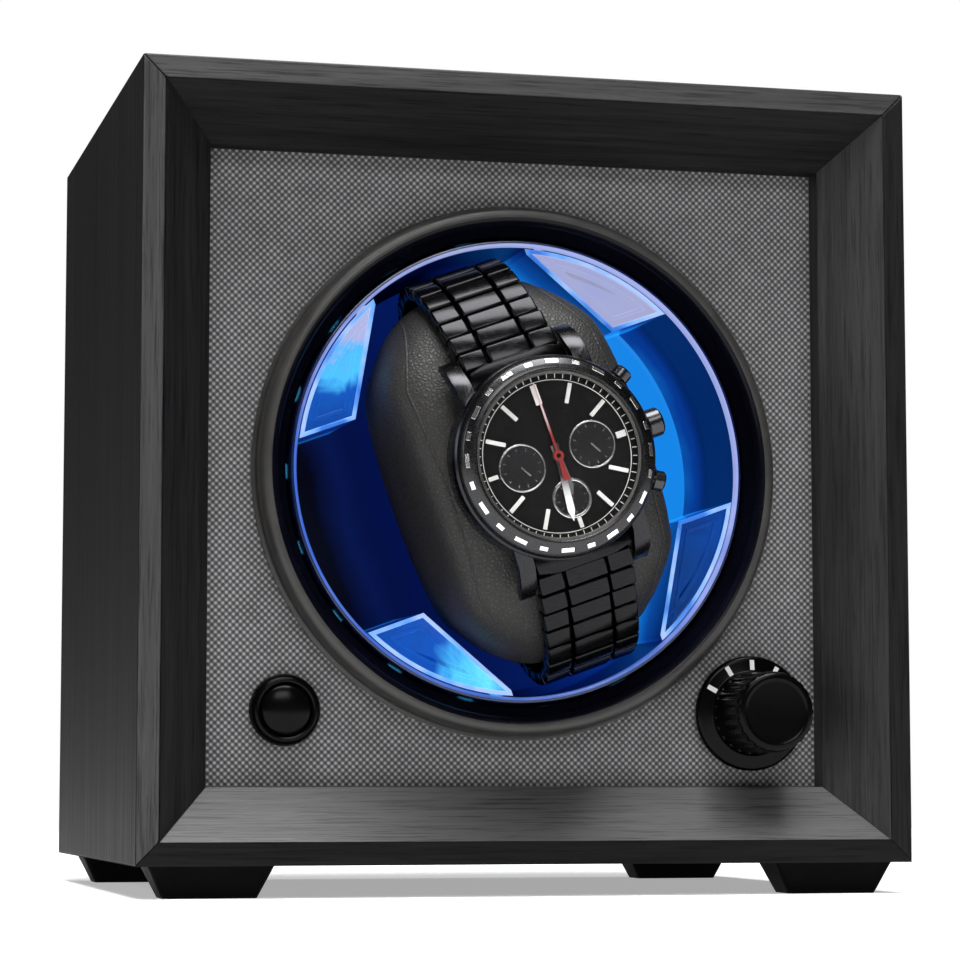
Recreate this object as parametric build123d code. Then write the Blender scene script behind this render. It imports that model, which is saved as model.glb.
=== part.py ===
from build123d import *
import math
import os

# A single watch winder: a black wood cabinet whose front frames a cloth-covered board, with a lit drum that turns
# a cushion and the watch strapped to it. Millimetres, +Z up, the front faces -Y.
#
# Every piece is modelled in the "face frame" and moved into the part's frame when it is written. The face frame has
# its origin on the drum's axis at the cabinet's front plane: x to the right, y up, and z out towards the viewer, so a
# piece that lies 20 mm inside the cabinet is at z = -20. The drum frame is the face frame turned by DRUM_TURN about z.

# ---- cabinet ----
CABINET_W = 165.0
CABINET_H = 165.0
CABINET_D = 137.0
PANEL_T = 4.8
MOULDING_INSET = 15.8  # from the cabinet's side to the inner edge of the bevelled frame
BEVEL_D = 11.5  # depth at which the 45 degree bevel ends
MOULDING_D = 16.5  # depth of the frame's straight inner step, where the cloth lies
CLOTH_T = 0.5
BAFFLE_T = 4.0
FIT_GAP = 0.2  # loose gap round the boards that drop in between the panels
BACK_T = 4.0
BACK_RECESS = 2.0  # the back panel lies this far inside the rear edge
BATTEN = 14.0
BATTEN_D = 20.0

# ---- feet ----
FOOT_H = 6.6
FOOT_W = 26.0
FOOT_L = 12.6  # front to back, at the cabinet
FOOT_SIDE_TAPER = 3.3
FOOT_END_TAPER = 1.8
FOOT_CORNER_R = 1.0
FOOT_SIDE_INSET = 3.0
FOOT_FRONT_INSET = 4.0
FOOT_REAR_INSET = 11.0
FOOT_SCREW_RECESS = 2.6
FOOT_RECESS_R = 3.2

# ---- back panel ----
JACK_X = 45.0
JACK_Y = -50.0
JACK_R = 5.5
JACK_L = 10.0
JACK_COLLAR = 1.6
JACK_COLLAR_T = 1.4
JACK_BORE_R = 2.75
JACK_BORE_D = 6.0
JACK_PIN_R = 1.0
VENT_COUNT = 9
VENT_PITCH = 9.0
VENT_W = 3.0
VENT_L = 36.0
VENT_Y = 28.0

# ---- screws, as head radius, head thickness, shank radius and length under the head ----
BAFFLE_SCREW = (2.8, 1.6, 1.5, 11.0)
BACK_SCREW = (3.0, 1.7, 1.5, 16.0)
HOUSING_SCREW = (2.3, 1.4, 1.0, 5.5)
MOTOR_SCREW = (1.9, 1.2, 1.0, 5.5)
FOOT_SCREW = (2.9, 1.7, 1.5, 3.8)  # its length is what goes into the bottom panel
WOOD_SCREW_HOLE_R = 1.6
SMALL_SCREW_HOLE_R = 1.1
SLOT_L = 2.4
SLOT_W = 0.6
SLOT_D = 0.8

# ---- bezel, housing and light; the bezel's places are (radius, depth) ----
BEZEL_R = 56.2
BEZEL_LIP_R = 57.0
BEZEL_BORE_R = 50.0
BEZEL_BORE_FRONT = 14.2
BEZEL_SLOPE_END = (52.2, 10.6)
BEZEL_CREST = (54.2, 9.5)
BEZEL_SHOULDER = (55.3, 10.8)
BEZEL_SIDE = (56.0, 12.8)
BEZEL_SIDE_END = 15.4
BEZEL_LIP_FRONT = 15.7
SPIGOT_R = 54.0
HOUSING_BORE_R = 52.5
HOUSING_FLANGE_R = 61.0
HOUSING_FLANGE_T = 2.5
HOUSING_END = 66.0
HOUSING_WALL = 1.5
HOUSING_PLATE_T = 2.0
HOUSING_SCREW_R = 57.7
HOUSING_SCREWS = 4
MOTOR_SHAFT_HOLE_R = 3.5
LIGHT_LEAD_D = 26.0
LIGHT_LEAD_HOLE_R = 1.3
BOSS_R = 9.0
STRIP_T = 0.5
STRIP_GAP = 0.1
STRIP_FRONT = 22.0
STRIP_BACK = 30.0
CHIP_COUNT = 18
CHIP_SIZE = (1.1, 3.0, 2.8)

# ---- drum ----
DRUM_TURN = 20.0  # degrees, the drum's resting angle
DRUM_R = 49.3
DRUM_WALL = 1.4
DRUM_RIM = 12.5
DRUM_FLOOR = 43.0
DRUM_FLOOR_T = 2.5
POCKET_HALF = 21.5  # half height of the finger pockets left and right of the cushion
BLOCK_NEAR_X = 29.8  # the corner blocks' slanted inner edges run between these two points
BLOCK_FAR_X = 20.2
BLOCK_FAR_Y = 38.3
BLOCK_END_X = 17.5
BLOCK_RIM_GAP = 0.2
BLOCK_WALL = 1.6
TRAY_D = 1.2
SHAFT_R = 3.0
RUNNING_GAP = 0.05
BUSH_R = 5.0
SLEEVE_R = 5.0
BUSH_FRONT = 58.3
BUSH_END = 72.0
SHAFT_END = 76.0
FLANGE_R = 14.0
FLANGE_T = 3.0
CLIP_R = 5.4
CLIP_T = 1.0
CLIP_GAP = 0.6
CLIP_MOUTH = 1.6

# ---- gears and motor ----
GEAR_MODULE = 0.8
GEAR_TEETH = 60
PINION_TEETH = 12
GEAR_FRONT = 49.0
GEAR_BACK = 54.0
PRESSURE_ANGLE = 20.0
DEDENDUM = 1.25
ADDENDUM = 0.95
BACKLASH = 0.06
MESH_GAP = 0.08
GEAR_HOLES = 6
GEAR_HOLE_R = 4.6
GEAR_HOLE_PITCH_R = 14.0
MOTOR_SHAFT_R = 1.5
MOTOR_R = 12.0
GEARBOX_L = 12.0
MOTOR_L = 20.0
MOTOR_SCREW_PITCH = 8.5
MOTOR_SHAFT_REACH = 6.0

# ---- electrics ----
BOARD_T = 1.6
BOARD_X = 30.0
BOARD_FRONT = 84.0
BOARD_BACK = 124.0
BOARD_CLEARANCE = 5.0
STANDOFF_R = 2.6
STANDOFF_INSET = 4.0
PLUG_H = 5.5
PLUG_HALF_W = 4.0
PLUG_HALF_L = 3.0
LEAD_PLUGS = {
    "power": (20.0, 108.0),
    "motor": (0.0, 108.0),
    "mode": (20.0, 90.0),
    "light": (0.0, 90.0),
    "button": (-18.0, 90.0),
}
LEAD_R = 0.9
LEAD_BEND = 6.0
LEAD_RISE = 12.0  # height above the plugs at which the leads cross
LEAD_TURN = 60.0  # depth at which the knob's and button's leads turn down

# ---- knob and button ----
KNOB_X = 51.8
KNOB_Y = -51.0
KNOB_SKIRT_R = 12.3
KNOB_R = 8.7
KNOB_FRONT = -2.0
KNOB_BACK = 15.9
KNOB_BORE_R = 6.6
SKIRT_T = 2.2
FLUTES = 24
FLUTE_R = 0.6
SWITCH_SHAFT_R = 2.5
SWITCH_BUSH_R = 3.5
SWITCH_SIDE = 14.0
SWITCH_END = 33.0
SWITCH_NUT_R = 5.6
NUT_FRONT = 14.3
SHAFT_INTO_KNOB = 3.0  # how far behind the knob's face the shaft ends
BUTTON_X = -49.6
BUTTON_Y = -50.8
BUTTON_RING_R = 7.5
BUTTON_CAP_R = 5.4
BUTTON_BARREL_R = 6.4
BUTTON_TRAVEL = 1.5
BUTTON_RING_FRONT = 13.7
BUTTON_NUT_R = 8.6
BUTTON_NUT_T = 3.0
BARREL_END = 27.0
BUTTON_SWITCH_HALF = 5.6
BUTTON_SWITCH_END = 36.0
STEM_R = 1.5
STEM_END = 29.0
CAP_BACK = 20.0
CAP_RIM = 0.3  # the dome's rim lies this far behind the ring's front
DOME_H = 1.2
DOME_FLAT_R = 0.4
DOME_STEPS = 8

# ---- cushion and watch, as heights above the cabinet's front plane ----
CUSHION_HALF_L = 41.0
CUSHION_HALF_W = 26.5
CUSHION_END_W = 17.5
CUSHION_SHOULDER = 25.2  # where the corners start to slant along the drum's blocks
CUSHION_CORNER_R = 5.0
CUSHION_HALF_T = 23.0
CUSHION_MID = -15.0  # height of the oval's centre
STRAP_GAP = 0.4
STRAP_T = 3.2
STRAP_HALF_W = 10.75
CLASP_HALF_L = 13.0
CLASP_EXTRA = 0.8
CLASP_HALF_W = 11.25
CASE_R = 21.0
CASE_WALL = 3.6
CASE_BASE = 8.4
CASE_TOP = 16.4
DIAL_R = 17.2
DIAL_BASE = 16.6
DIAL_TOP = 17.4
CRYSTAL_BASE = 19.2
CRYSTAL_TOP = 20.5
HAND_T = 0.15
HAND_STEP = 0.35
HAND_POST_R = 0.45
HAND_POST_H = 1.26
HAND_HUB_R = 1.1
CROWN_STEM_R = 0.8
PUSHER_STEM_R = 1.1
SIDE_GAP = 0.25  # between the case's side and the crown's inner face
LUG_W = 3.4
LUG_GAP = 0.35
LUG_OUTLINE = [(14, 15.1), (19.5, 14.1), (23.5, 10.6), (25.4, 6.6), (24.4, 5.8), (20.5, 9.7), (14, 9.7)]
# The watch's bezel as (radius, height above the case). The hands as (x, distance from the post), pointing up.
WATCH_BEZEL_OUTLINE = [
    (17.3, 0),
    (20.6, 0),
    (20.8, 1.0),
    (19.9, 2.6),
    (18.4, 3.5),
    (17.4, 3.6),
    (17.4, 2.8),
    (16.6, 2.8),
    (17.1, 1.2),
    (17.3, 1.2),
]
HOUR_HAND = [(-0.75, -2.4), (0.75, -2.4), (0.75, 0), (0.9, 6.6), (0, 8.6), (-0.9, 6.6), (-0.75, 0)]
MINUTE_HAND = [(-0.6, -2.6), (0.6, -2.6), (0.6, 0), (0.75, 11.4), (0, 13.6), (-0.75, 11.4), (-0.6, 0)]
SECONDS_HAND = [(-0.7, -5.2), (0.7, -5.2), (0.28, 0), (0.14, 15.6), (-0.14, 15.6), (-0.28, 0)]
HOUR_ANGLE = -178.0
MINUTE_ANGLE = -186.0
CROWN_HEIGHT = 12.4
CROWN_OUT = 24.8
CROWN_R = 3.0
PUSHER_ANGLE = 30.0
PUSHER_OUT = 24.4
PUSHER_R = 2.1
PUSHER_TRAVEL = 0.9

# ---- derived places ----
FRONT_Y = -(CABINET_D - CRYSTAL_TOP) / 2
AXIS_Z = FOOT_H + CABINET_H / 2
HALF_W = CABINET_W / 2
HALF_H = CABINET_H / 2
INNER = HALF_W - PANEL_T
BAFFLE_FRONT = MOULDING_D + CLOTH_T
BAFFLE_BACK = BAFFLE_FRONT + BAFFLE_T
BACK_END = CABINET_D - BACK_RECESS
BACK_FRONT = BACK_END - BACK_T
HOUSING_FRONT = BAFFLE_BACK + HOUSING_FLANGE_T
MOTOR_OFFSET = GEAR_MODULE * (GEAR_TEETH + PINION_TEETH) / 2 + MESH_GAP
BOARD_LOW = -INNER + BOARD_CLEARANCE
BOARD_TOP = BOARD_LOW + BOARD_T
PLUG_TOP = BOARD_TOP + PLUG_H

FACE = Plane(origin=(0, FRONT_Y, AXIS_Z), x_dir=(1, 0, 0), z_dir=(0, -1, 0)).location
UPRIGHT = (Align.CENTER, Align.CENTER, Align.MIN)


def write(node, shape):
    """Moves a shape from the face frame to the part's frame and writes it."""
    export_step(FACE * shape, f"parts/{node}.step")


def drum_frame(shape):
    return Rot(0, 0, DRUM_TURN) * shape


def slab(x, y, front, back):
    """A box over the x and y ranges, between two depths behind the front plane."""
    width = x[1] - x[0]
    height = y[1] - y[0]
    middle = Pos((x[0] + x[1]) / 2, (y[0] + y[1]) / 2, -back)
    return middle * Box(width, height, back - front, align=UPRIGHT)


def rod(radius, front, back, x=0.0, y=0.0):
    """A cylinder along the drum's direction, between two depths."""
    return Pos(x, y, -back) * Cylinder(radius, back - front, align=UPRIGHT)


def tube(outer, inner, front, back, x=0.0, y=0.0):
    return rod(outer, front, back, x, y) - rod(inner, front, back, x, y)


def turned(*outline):
    """A closed outline of (radius, depth) points turned about the drum's axis."""
    points = [(radius, -depth) for radius, depth in outline]
    return revolve(Plane.XZ * make_face(Polyline(*points, close=True)), Axis.Z)


def prism(outline, front, back):
    """A closed (x, y) outline between two depths."""
    face = make_face(Polyline(*outline, close=True))
    return Pos(0, 0, -back) * extrude(face, back - front)


def around(radius, count, start=0.0):
    """The centres of count places evenly round the drum's axis."""
    step = 2 * math.pi / count
    first = math.radians(start)
    return [(radius * math.cos(first + step * i), radius * math.sin(first + step * i)) for i in range(count)]


def screw(x, y, head_front, size, forward=True):
    """A pan-head screw: its head's inner face is at head_front, and the shank runs forward or backward from it."""
    head_r, head_t, shank_r, shank_l = size
    if forward:
        head = fillet(rod(head_r, head_front, head_front + head_t, x, y).edges().sort_by(Axis.Z)[0], head_t / 3)
        return head + rod(shank_r, head_front - shank_l, head_front, x, y) - cross_slot(x, y, head_front + head_t)
    head = rod(head_r, head_front - head_t, head_front, x, y)
    return head + rod(shank_r, head_front, head_front + shank_l, x, y)


def cross_slot(x, y, face):
    across = slab((x - SLOT_L / 2, x + SLOT_L / 2), (y - SLOT_W / 2, y + SLOT_W / 2), face - SLOT_D, face)
    upright = slab((x - SLOT_W / 2, x + SLOT_W / 2), (y - SLOT_L / 2, y + SLOT_L / 2), face - SLOT_D, face)
    return across + upright


# ---------------------------------------------------------------- cabinet


def panels():
    """Four side panels, mitred at the corners."""
    outer = HALF_W
    inner = INNER
    outline = [(-outer, -outer), (-inner, -inner), (-inner, inner), (-outer, outer)]
    return {
        "left_panel": prism(outline, 0, CABINET_D),
        "bottom_panel": Rot(0, 0, 90) * prism(outline, 0, CABINET_D),
        "right_panel": Rot(0, 0, 180) * prism(outline, 0, CABINET_D),
        "top_panel": Rot(0, 0, 270) * prism(outline, 0, CABINET_D),
    }


def mouldings():
    """Four lengths of bevelled frame, mitred where they meet."""
    section = [
        (-INNER, 0),
        (-(HALF_W - MOULDING_INSET), -BEVEL_D),
        (-(HALF_W - MOULDING_INSET), -MOULDING_D),
        (-INNER, -MOULDING_D),
    ]
    profile = Plane.XZ * make_face(Polyline(*section, close=True))
    full = extrude(profile, HALF_H, both=True)
    mitre = prism([(-HALF_W, -HALF_H), (0, 0), (-HALF_W, HALF_H)], 0, MOULDING_D)
    left = full & mitre
    return {
        "left_moulding": left,
        "bottom_moulding": Rot(0, 0, 90) * left,
        "right_moulding": Rot(0, 0, 180) * left,
        "top_moulding": Rot(0, 0, 270) * left,
    }


def front_openings(extra):
    """The holes that the bezel, the knob's bush and the button's barrel pass through."""
    front = MOULDING_D
    back = BAFFLE_BACK
    return [
        rod(SPIGOT_R + extra, front, back),
        rod(SWITCH_BUSH_R + extra, front, back, KNOB_X, KNOB_Y),
        rod(BUTTON_BARREL_R + extra, front, back, BUTTON_X, BUTTON_Y),
    ]


def baffle_screw_places():
    edge = HALF_W - (PANEL_T + MOULDING_INSET) / 2
    return [(x, y) for x in (-edge, 0, edge) for y in (-edge, 0, edge) if x or y]


def baffle_board():
    reach = INNER - FIT_GAP
    board = slab((-reach, reach), (-reach, reach), BAFFLE_FRONT, BAFFLE_BACK)
    for hole in front_openings(0.1):
        board -= hole
    for x, y in baffle_screw_places():
        board -= rod(WOOD_SCREW_HOLE_R, BAFFLE_FRONT, BAFFLE_BACK, x, y)
    reach = HOUSING_SCREW[3] - HOUSING_FLANGE_T + FIT_GAP
    for x, y in around(HOUSING_SCREW_R, HOUSING_SCREWS):
        board -= rod(SMALL_SCREW_HOLE_R, BAFFLE_BACK - reach, BAFFLE_BACK, x, y)
    return board


def grille_cloth():
    reach = INNER - 2 * FIT_GAP
    cloth = slab((-reach, reach), (-reach, reach), MOULDING_D, BAFFLE_FRONT)
    for hole in front_openings(0.2):
        cloth -= hole
    for x, y in baffle_screw_places():
        cloth -= rod(WOOD_SCREW_HOLE_R, MOULDING_D, BAFFLE_FRONT, x, y)
    return cloth


def baffle_screws():
    return [screw(x, y, BAFFLE_BACK, BAFFLE_SCREW) for x, y in baffle_screw_places()]


def drill_mouldings(frames):
    """Blind pilot holes for the baffle's screws, cut in whichever moulding holds them."""
    shank_r, shank_l = BAFFLE_SCREW[2:]
    for x, y in baffle_screw_places():
        pilot = rod(shank_r, BAFFLE_BACK - shank_l, MOULDING_D, x, y)
        for name in frames:
            frames[name] = frames[name] - pilot
    return frames


def batten_places():
    centre = INNER - FIT_GAP / 2 - BATTEN / 2
    return [(x, y) for x in (-centre, centre) for y in (-centre, centre)]


def back_battens():
    shank_r, shank_l = BACK_SCREW[2:]
    blocks = []
    for x, y in batten_places():
        half = BATTEN / 2
        block = slab((x - half, x + half), (y - half, y + half), BACK_FRONT - BATTEN_D, BACK_FRONT)
        blocks.append(block - rod(shank_r, BACK_END - shank_l, BACK_FRONT, x, y))
    return blocks


def back_panel():
    reach = INNER - FIT_GAP
    panel = slab((-reach, reach), (-reach, reach), BACK_FRONT, BACK_END)
    for x, y in batten_places():
        panel -= rod(WOOD_SCREW_HOLE_R, BACK_FRONT, BACK_END, x, y)
    panel -= rod(JACK_R, BACK_FRONT, BACK_END, JACK_X, JACK_Y)
    for i in range(VENT_COUNT):
        x = (i - (VENT_COUNT - 1) / 2) * VENT_PITCH
        slot = extrude(SlotOverall(VENT_L, VENT_W, rotation=90), BACK_T)
        panel -= Pos(x, VENT_Y, -BACK_END) * slot
    return panel


def back_screws():
    return [screw(x, y, BACK_END, BACK_SCREW) for x, y in batten_places()]


def foot_places():
    x = HALF_W - FOOT_SIDE_INSET - FOOT_W / 2
    front = FOOT_FRONT_INSET + FOOT_L / 2
    rear = CABINET_D - FOOT_REAR_INSET - FOOT_L / 2
    return [(side * x, depth) for side in (-1, 1) for depth in (front, rear)]


def on_underside(x, depth, shape):
    """Puts a shape made along z against the cabinet's underside, its z pointing down."""
    return Pos(x, -HALF_H, -depth) * Rot(90, 0, 0) * shape


def feet():
    top = RectangleRounded(FOOT_W, FOOT_L, FOOT_CORNER_R)
    bottom = RectangleRounded(FOOT_W - 2 * FOOT_SIDE_TAPER, FOOT_L - 2 * FOOT_END_TAPER, FOOT_CORNER_R)
    block = loft([top, Pos(0, 0, FOOT_H) * bottom])
    block -= Pos(0, 0, FOOT_H - FOOT_SCREW_RECESS) * Cylinder(FOOT_RECESS_R, FOOT_SCREW_RECESS, align=UPRIGHT)
    block -= Cylinder(WOOD_SCREW_HOLE_R, FOOT_H, align=UPRIGHT)
    return [on_underside(x, depth, block) for x, depth in foot_places()]


def foot_screws():
    head_r, head_t, shank_r, reach = FOOT_SCREW
    seat = FOOT_H - FOOT_SCREW_RECESS
    one = Pos(0, 0, seat) * Cylinder(head_r, head_t, align=UPRIGHT)
    one += Pos(0, 0, -reach) * Cylinder(shank_r, seat + reach, align=UPRIGHT)
    return [on_underside(x, depth, one) for x, depth in foot_places()]


def drill_bottom(panel):
    shank_r, reach = FOOT_SCREW[2:]
    for x, depth in foot_places():
        pilot = Pos(0, 0, -reach - RUNNING_GAP) * Cylinder(shank_r, reach + RUNNING_GAP, align=UPRIGHT)
        panel -= on_underside(x, depth, pilot)
    return panel


# ---------------------------------------------------------------- bezel, housing, light


def bezel_ring():
    """A rounded ring on the cloth, with a glossy slope inside and a spigot through the board."""
    slope_end, crest, shoulder, side = [
        (radius, -depth) for radius, depth in (BEZEL_SLOPE_END, BEZEL_CREST, BEZEL_SHOULDER, BEZEL_SIDE)
    ]
    side_end = (BEZEL_R, -BEZEL_SIDE_END)
    slope_start = (BEZEL_BORE_R, -BEZEL_BORE_FRONT)
    with BuildLine() as line:
        Polyline((BEZEL_BORE_R, -BAFFLE_BACK), slope_start, slope_end)
        ThreePointArc(slope_end, crest, shoulder)
        ThreePointArc(shoulder, side, side_end)
        Polyline(
            side_end,
            (BEZEL_LIP_R, -BEZEL_LIP_FRONT),
            (BEZEL_LIP_R, -MOULDING_D),
            (SPIGOT_R, -MOULDING_D),
            (SPIGOT_R, -BAFFLE_BACK),
            (BEZEL_BORE_R, -BAFFLE_BACK),
        )
    return revolve(Plane.XZ * make_face(line.line), Axis.Z)


def motor_screw_places():
    return [(side * MOTOR_SCREW_PITCH, -MOTOR_OFFSET) for side in (-1, 1)]


def drum_housing():
    """A cup behind the board that carries the bush, the lights and the motor."""
    shell = tube(HOUSING_FLANGE_R, HOUSING_BORE_R, BAFFLE_BACK, HOUSING_FRONT)
    shell += tube(HOUSING_BORE_R + HOUSING_WALL, HOUSING_BORE_R, HOUSING_FRONT, HOUSING_END)
    plate_front = HOUSING_END - HOUSING_PLATE_T
    shell += rod(HOUSING_BORE_R + HOUSING_WALL, plate_front, HOUSING_END)
    shell += rod(BOSS_R, BUSH_FRONT, BUSH_END)
    shell -= rod(BUSH_R, BUSH_FRONT, BUSH_END)
    shell -= rod(MOTOR_SHAFT_HOLE_R, plate_front, HOUSING_END, 0, -MOTOR_OFFSET)
    for x, y in motor_screw_places():
        shell -= rod(SMALL_SCREW_HOLE_R, plate_front, HOUSING_END, x, y)
    for x, y in around(HOUSING_SCREW_R, HOUSING_SCREWS):
        shell -= rod(SMALL_SCREW_HOLE_R, BAFFLE_BACK, HOUSING_FRONT, x, y)
    drill = Rot(90, 0, 0) * Cylinder(LIGHT_LEAD_HOLE_R, 4 * HOUSING_WALL)
    return shell - Pos(0, -HOUSING_BORE_R, -LIGHT_LEAD_D) * drill


def housing_screws():
    return [screw(x, y, HOUSING_FRONT, HOUSING_SCREW) for x, y in around(HOUSING_SCREW_R, HOUSING_SCREWS)]


def light_strip():
    outer = HOUSING_BORE_R - STRIP_GAP
    return tube(outer, outer - STRIP_T, STRIP_FRONT, STRIP_BACK)


def light_chips():
    chip = Box(*CHIP_SIZE)
    seat = HOUSING_BORE_R - STRIP_GAP - STRIP_T - CHIP_SIZE[0] / 2 - RUNNING_GAP
    middle = (STRIP_FRONT + STRIP_BACK) / 2
    turns = [360 / CHIP_COUNT * i for i in range(CHIP_COUNT)]
    return [Rot(0, 0, turn) * Pos(seat, 0, -middle) * chip for turn in turns]


# ---------------------------------------------------------------- drum


def drum_cup():
    inner = DRUM_R - DRUM_WALL
    back = DRUM_FLOOR + DRUM_FLOOR_T
    cup = turned(
        (0, back),
        (DRUM_R - 1.0, back),
        (DRUM_R, back - 1.0),
        (DRUM_R, DRUM_RIM + 0.3),
        (DRUM_R - 0.3, DRUM_RIM),
        (inner + 0.3, DRUM_RIM),
        (inner, DRUM_RIM + 0.3),
        (inner, DRUM_FLOOR),
        (0, DRUM_FLOOR),
    )
    return cup


def block_outline(reach):
    """One corner block in the drum frame, before it is trimmed to the drum's round wall."""
    return [
        (BLOCK_NEAR_X, POCKET_HALF),
        (reach, POCKET_HALF),
        (reach, reach),
        (BLOCK_END_X, reach),
        (BLOCK_END_X, BLOCK_FAR_Y + 4.5),
        (BLOCK_FAR_X, BLOCK_FAR_Y),
    ]


def corner_block():
    """A hollow block with a shallow tray on its front, moulded to fit the drum's wall."""
    round_r = DRUM_R - DRUM_WALL - BLOCK_RIM_GAP
    outer = make_face(Polyline(*block_outline(DRUM_R), close=True)) & Circle(round_r)
    front = DRUM_RIM + 0.6
    back = DRUM_FLOOR - 0.1
    body = Pos(0, 0, -back) * extrude(outer, back - front)
    inside = offset(outer, -BLOCK_WALL, kind=Kind.INTERSECTION)
    tray = Pos(0, 0, -(front + TRAY_D)) * extrude(inside, TRAY_D)
    hollow_front = front + TRAY_D + BLOCK_WALL
    hollow = Pos(0, 0, -back) * extrude(inside, back - hollow_front)
    return body - tray - hollow


def corner_blocks():
    right_up = corner_block()
    left_up = mirror(right_up, Plane.YZ)
    blocks = [right_up, left_up, mirror(right_up, Plane.XZ), mirror(left_up, Plane.XZ)]
    return [drum_frame(block) for block in blocks]


def drum_flange():
    front = DRUM_FLOOR + DRUM_FLOOR_T
    sleeve_end = BUSH_FRONT - 2 * FIT_GAP
    disc = rod(FLANGE_R, front, front + FLANGE_T)
    return disc + rod(SLEEVE_R, front + FLANGE_T, sleeve_end) - rod(SHAFT_R, front, BUSH_FRONT)


def drum_shaft():
    return rod(SHAFT_R, DRUM_FLOOR + DRUM_FLOOR_T + 0.1, SHAFT_END)


def drum_bush():
    return tube(BUSH_R, SHAFT_R + RUNNING_GAP, BUSH_FRONT, BUSH_END)


def shaft_clip():
    """An open retaining ring behind the bush."""
    front = BUSH_END + CLIP_GAP
    ring = tube(CLIP_R, SHAFT_R, front, front + CLIP_T)
    return ring - slab((-CLIP_MOUTH, CLIP_MOUTH), (0, CLIP_R), front, front + CLIP_T)


def gear(teeth, bore, phase):
    """A spur gear with flanks that follow the involute at three radii."""
    pitch_r = GEAR_MODULE * teeth / 2
    base_r = pitch_r * math.cos(math.radians(PRESSURE_ANGLE))
    root_r = pitch_r - DEDENDUM * GEAR_MODULE
    tip_r = pitch_r + ADDENDUM * GEAR_MODULE

    def half_angle(radius):
        """Half the tooth's angle at a radius."""
        at_pitch = (math.pi * GEAR_MODULE / 2 - BACKLASH) / 2 / pitch_r
        return at_pitch + involute(pitch_r) - involute(max(radius, base_r))

    def involute(radius):
        pressure = math.acos(min(1.0, base_r / radius))
        return math.tan(pressure) - pressure

    flank = [max(root_r, base_r), pitch_r, tip_r]
    points = []
    for tooth in range(teeth):
        middle = 2 * math.pi * tooth / teeth + phase
        rising = [(root_r, -half_angle(flank[0]))] + [(r, -half_angle(r)) for r in flank]
        falling = [(r, -angle) for r, angle in reversed(rising)]
        for radius, angle in rising + falling:
            points.append((radius * math.cos(middle + angle), radius * math.sin(middle + angle)))
    distinct = [p for i, p in enumerate(points) if math.dist(p, points[i - 1]) > 1e-6]
    return prism(distinct, GEAR_FRONT, GEAR_BACK) - rod(bore, GEAR_FRONT, GEAR_BACK)


def drive_gear():
    wheel = gear(GEAR_TEETH, SLEEVE_R, 0.0)
    for x, y in around(GEAR_HOLE_PITCH_R, GEAR_HOLES, 180 / GEAR_HOLES):
        wheel -= rod(GEAR_HOLE_R, GEAR_FRONT, GEAR_BACK, x, y)
    return wheel


def motor_pinion():
    return Pos(0, -MOTOR_OFFSET, 0) * gear(PINION_TEETH, MOTOR_SHAFT_R, math.pi / PINION_TEETH)


def motor_shaft():
    return rod(MOTOR_SHAFT_R, GEAR_FRONT - 0.6, HOUSING_END + MOTOR_SHAFT_REACH, 0, -MOTOR_OFFSET)


def motor_gearbox():
    back = HOUSING_END + GEARBOX_L
    body = rod(MOTOR_R, HOUSING_END, back, 0, -MOTOR_OFFSET)
    bore_end = HOUSING_END + MOTOR_SHAFT_REACH + 0.5
    body -= rod(MOTOR_SHAFT_R + RUNNING_GAP, HOUSING_END, bore_end, 0, -MOTOR_OFFSET)
    shank_r, shank_l = MOTOR_SCREW[2:]
    for x, y in motor_screw_places():
        body -= rod(shank_r, HOUSING_END, HOUSING_END - HOUSING_PLATE_T + shank_l + 0.5, x, y)
    return body


def motor_can():
    front = HOUSING_END + GEARBOX_L
    can = rod(MOTOR_R - 0.4, front, front + MOTOR_L, 0, -MOTOR_OFFSET)
    return fillet(can.edges().sort_by(Axis.Z)[0], 1.0)


def motor_screws():
    seat = HOUSING_END - HOUSING_PLATE_T
    return [screw(x, y, seat, MOTOR_SCREW, forward=False) for x, y in motor_screw_places()]


# ---------------------------------------------------------------- electrics


def circuit_board():
    return slab((-BOARD_X, BOARD_X), (BOARD_LOW, BOARD_TOP), BOARD_FRONT, BOARD_BACK)


def board_standoffs():
    """Four pillars with their screws' heads moulded on, between the bottom panel and the board."""
    posts = []
    side = BOARD_X - STANDOFF_INSET
    for x in (-side, side):
        for depth in (BOARD_FRONT + STANDOFF_INSET, BOARD_BACK - STANDOFF_INSET):
            post = Cylinder(STANDOFF_R, BOARD_CLEARANCE, align=UPRIGHT)
            posts.append(Pos(x, BOARD_LOW, -depth) * Rot(90, 0, 0) * post)
    return posts


def board_components():
    """The plugs' sockets, two chips and a capacitor."""
    parts = []
    for x, depth in LEAD_PLUGS.values():
        across = (x - PLUG_HALF_W, x + PLUG_HALF_W)
        parts.append(slab(across, (BOARD_TOP, PLUG_TOP), depth - PLUG_HALF_L, depth + PLUG_HALF_L))
    parts.append(slab((-15, -5), (BOARD_TOP, BOARD_TOP + 1.5), 98, 104))
    parts.append(slab((7, 14), (BOARD_TOP, BOARD_TOP + 2.5), 97, 103))
    parts.append(Pos(-20, BOARD_TOP, -112) * Rot(-90, 0, 0) * Cylinder(4, 10, align=UPRIGHT))
    return parts


def dc_jack():
    """A barrel inlet through the back panel, with its centre pin."""
    collar_end = BACK_END + JACK_COLLAR_T
    bore_end = BACK_FRONT - JACK_BORE_D
    body = rod(JACK_R, BACK_FRONT - JACK_L, BACK_END, JACK_X, JACK_Y)
    body += rod(JACK_R + JACK_COLLAR, BACK_END, collar_end, JACK_X, JACK_Y)
    body -= rod(JACK_BORE_R, bore_end, collar_end, JACK_X, JACK_Y)
    return body + rod(JACK_PIN_R, bore_end - JACK_PIN_R, BACK_END, JACK_X, JACK_Y)


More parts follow.
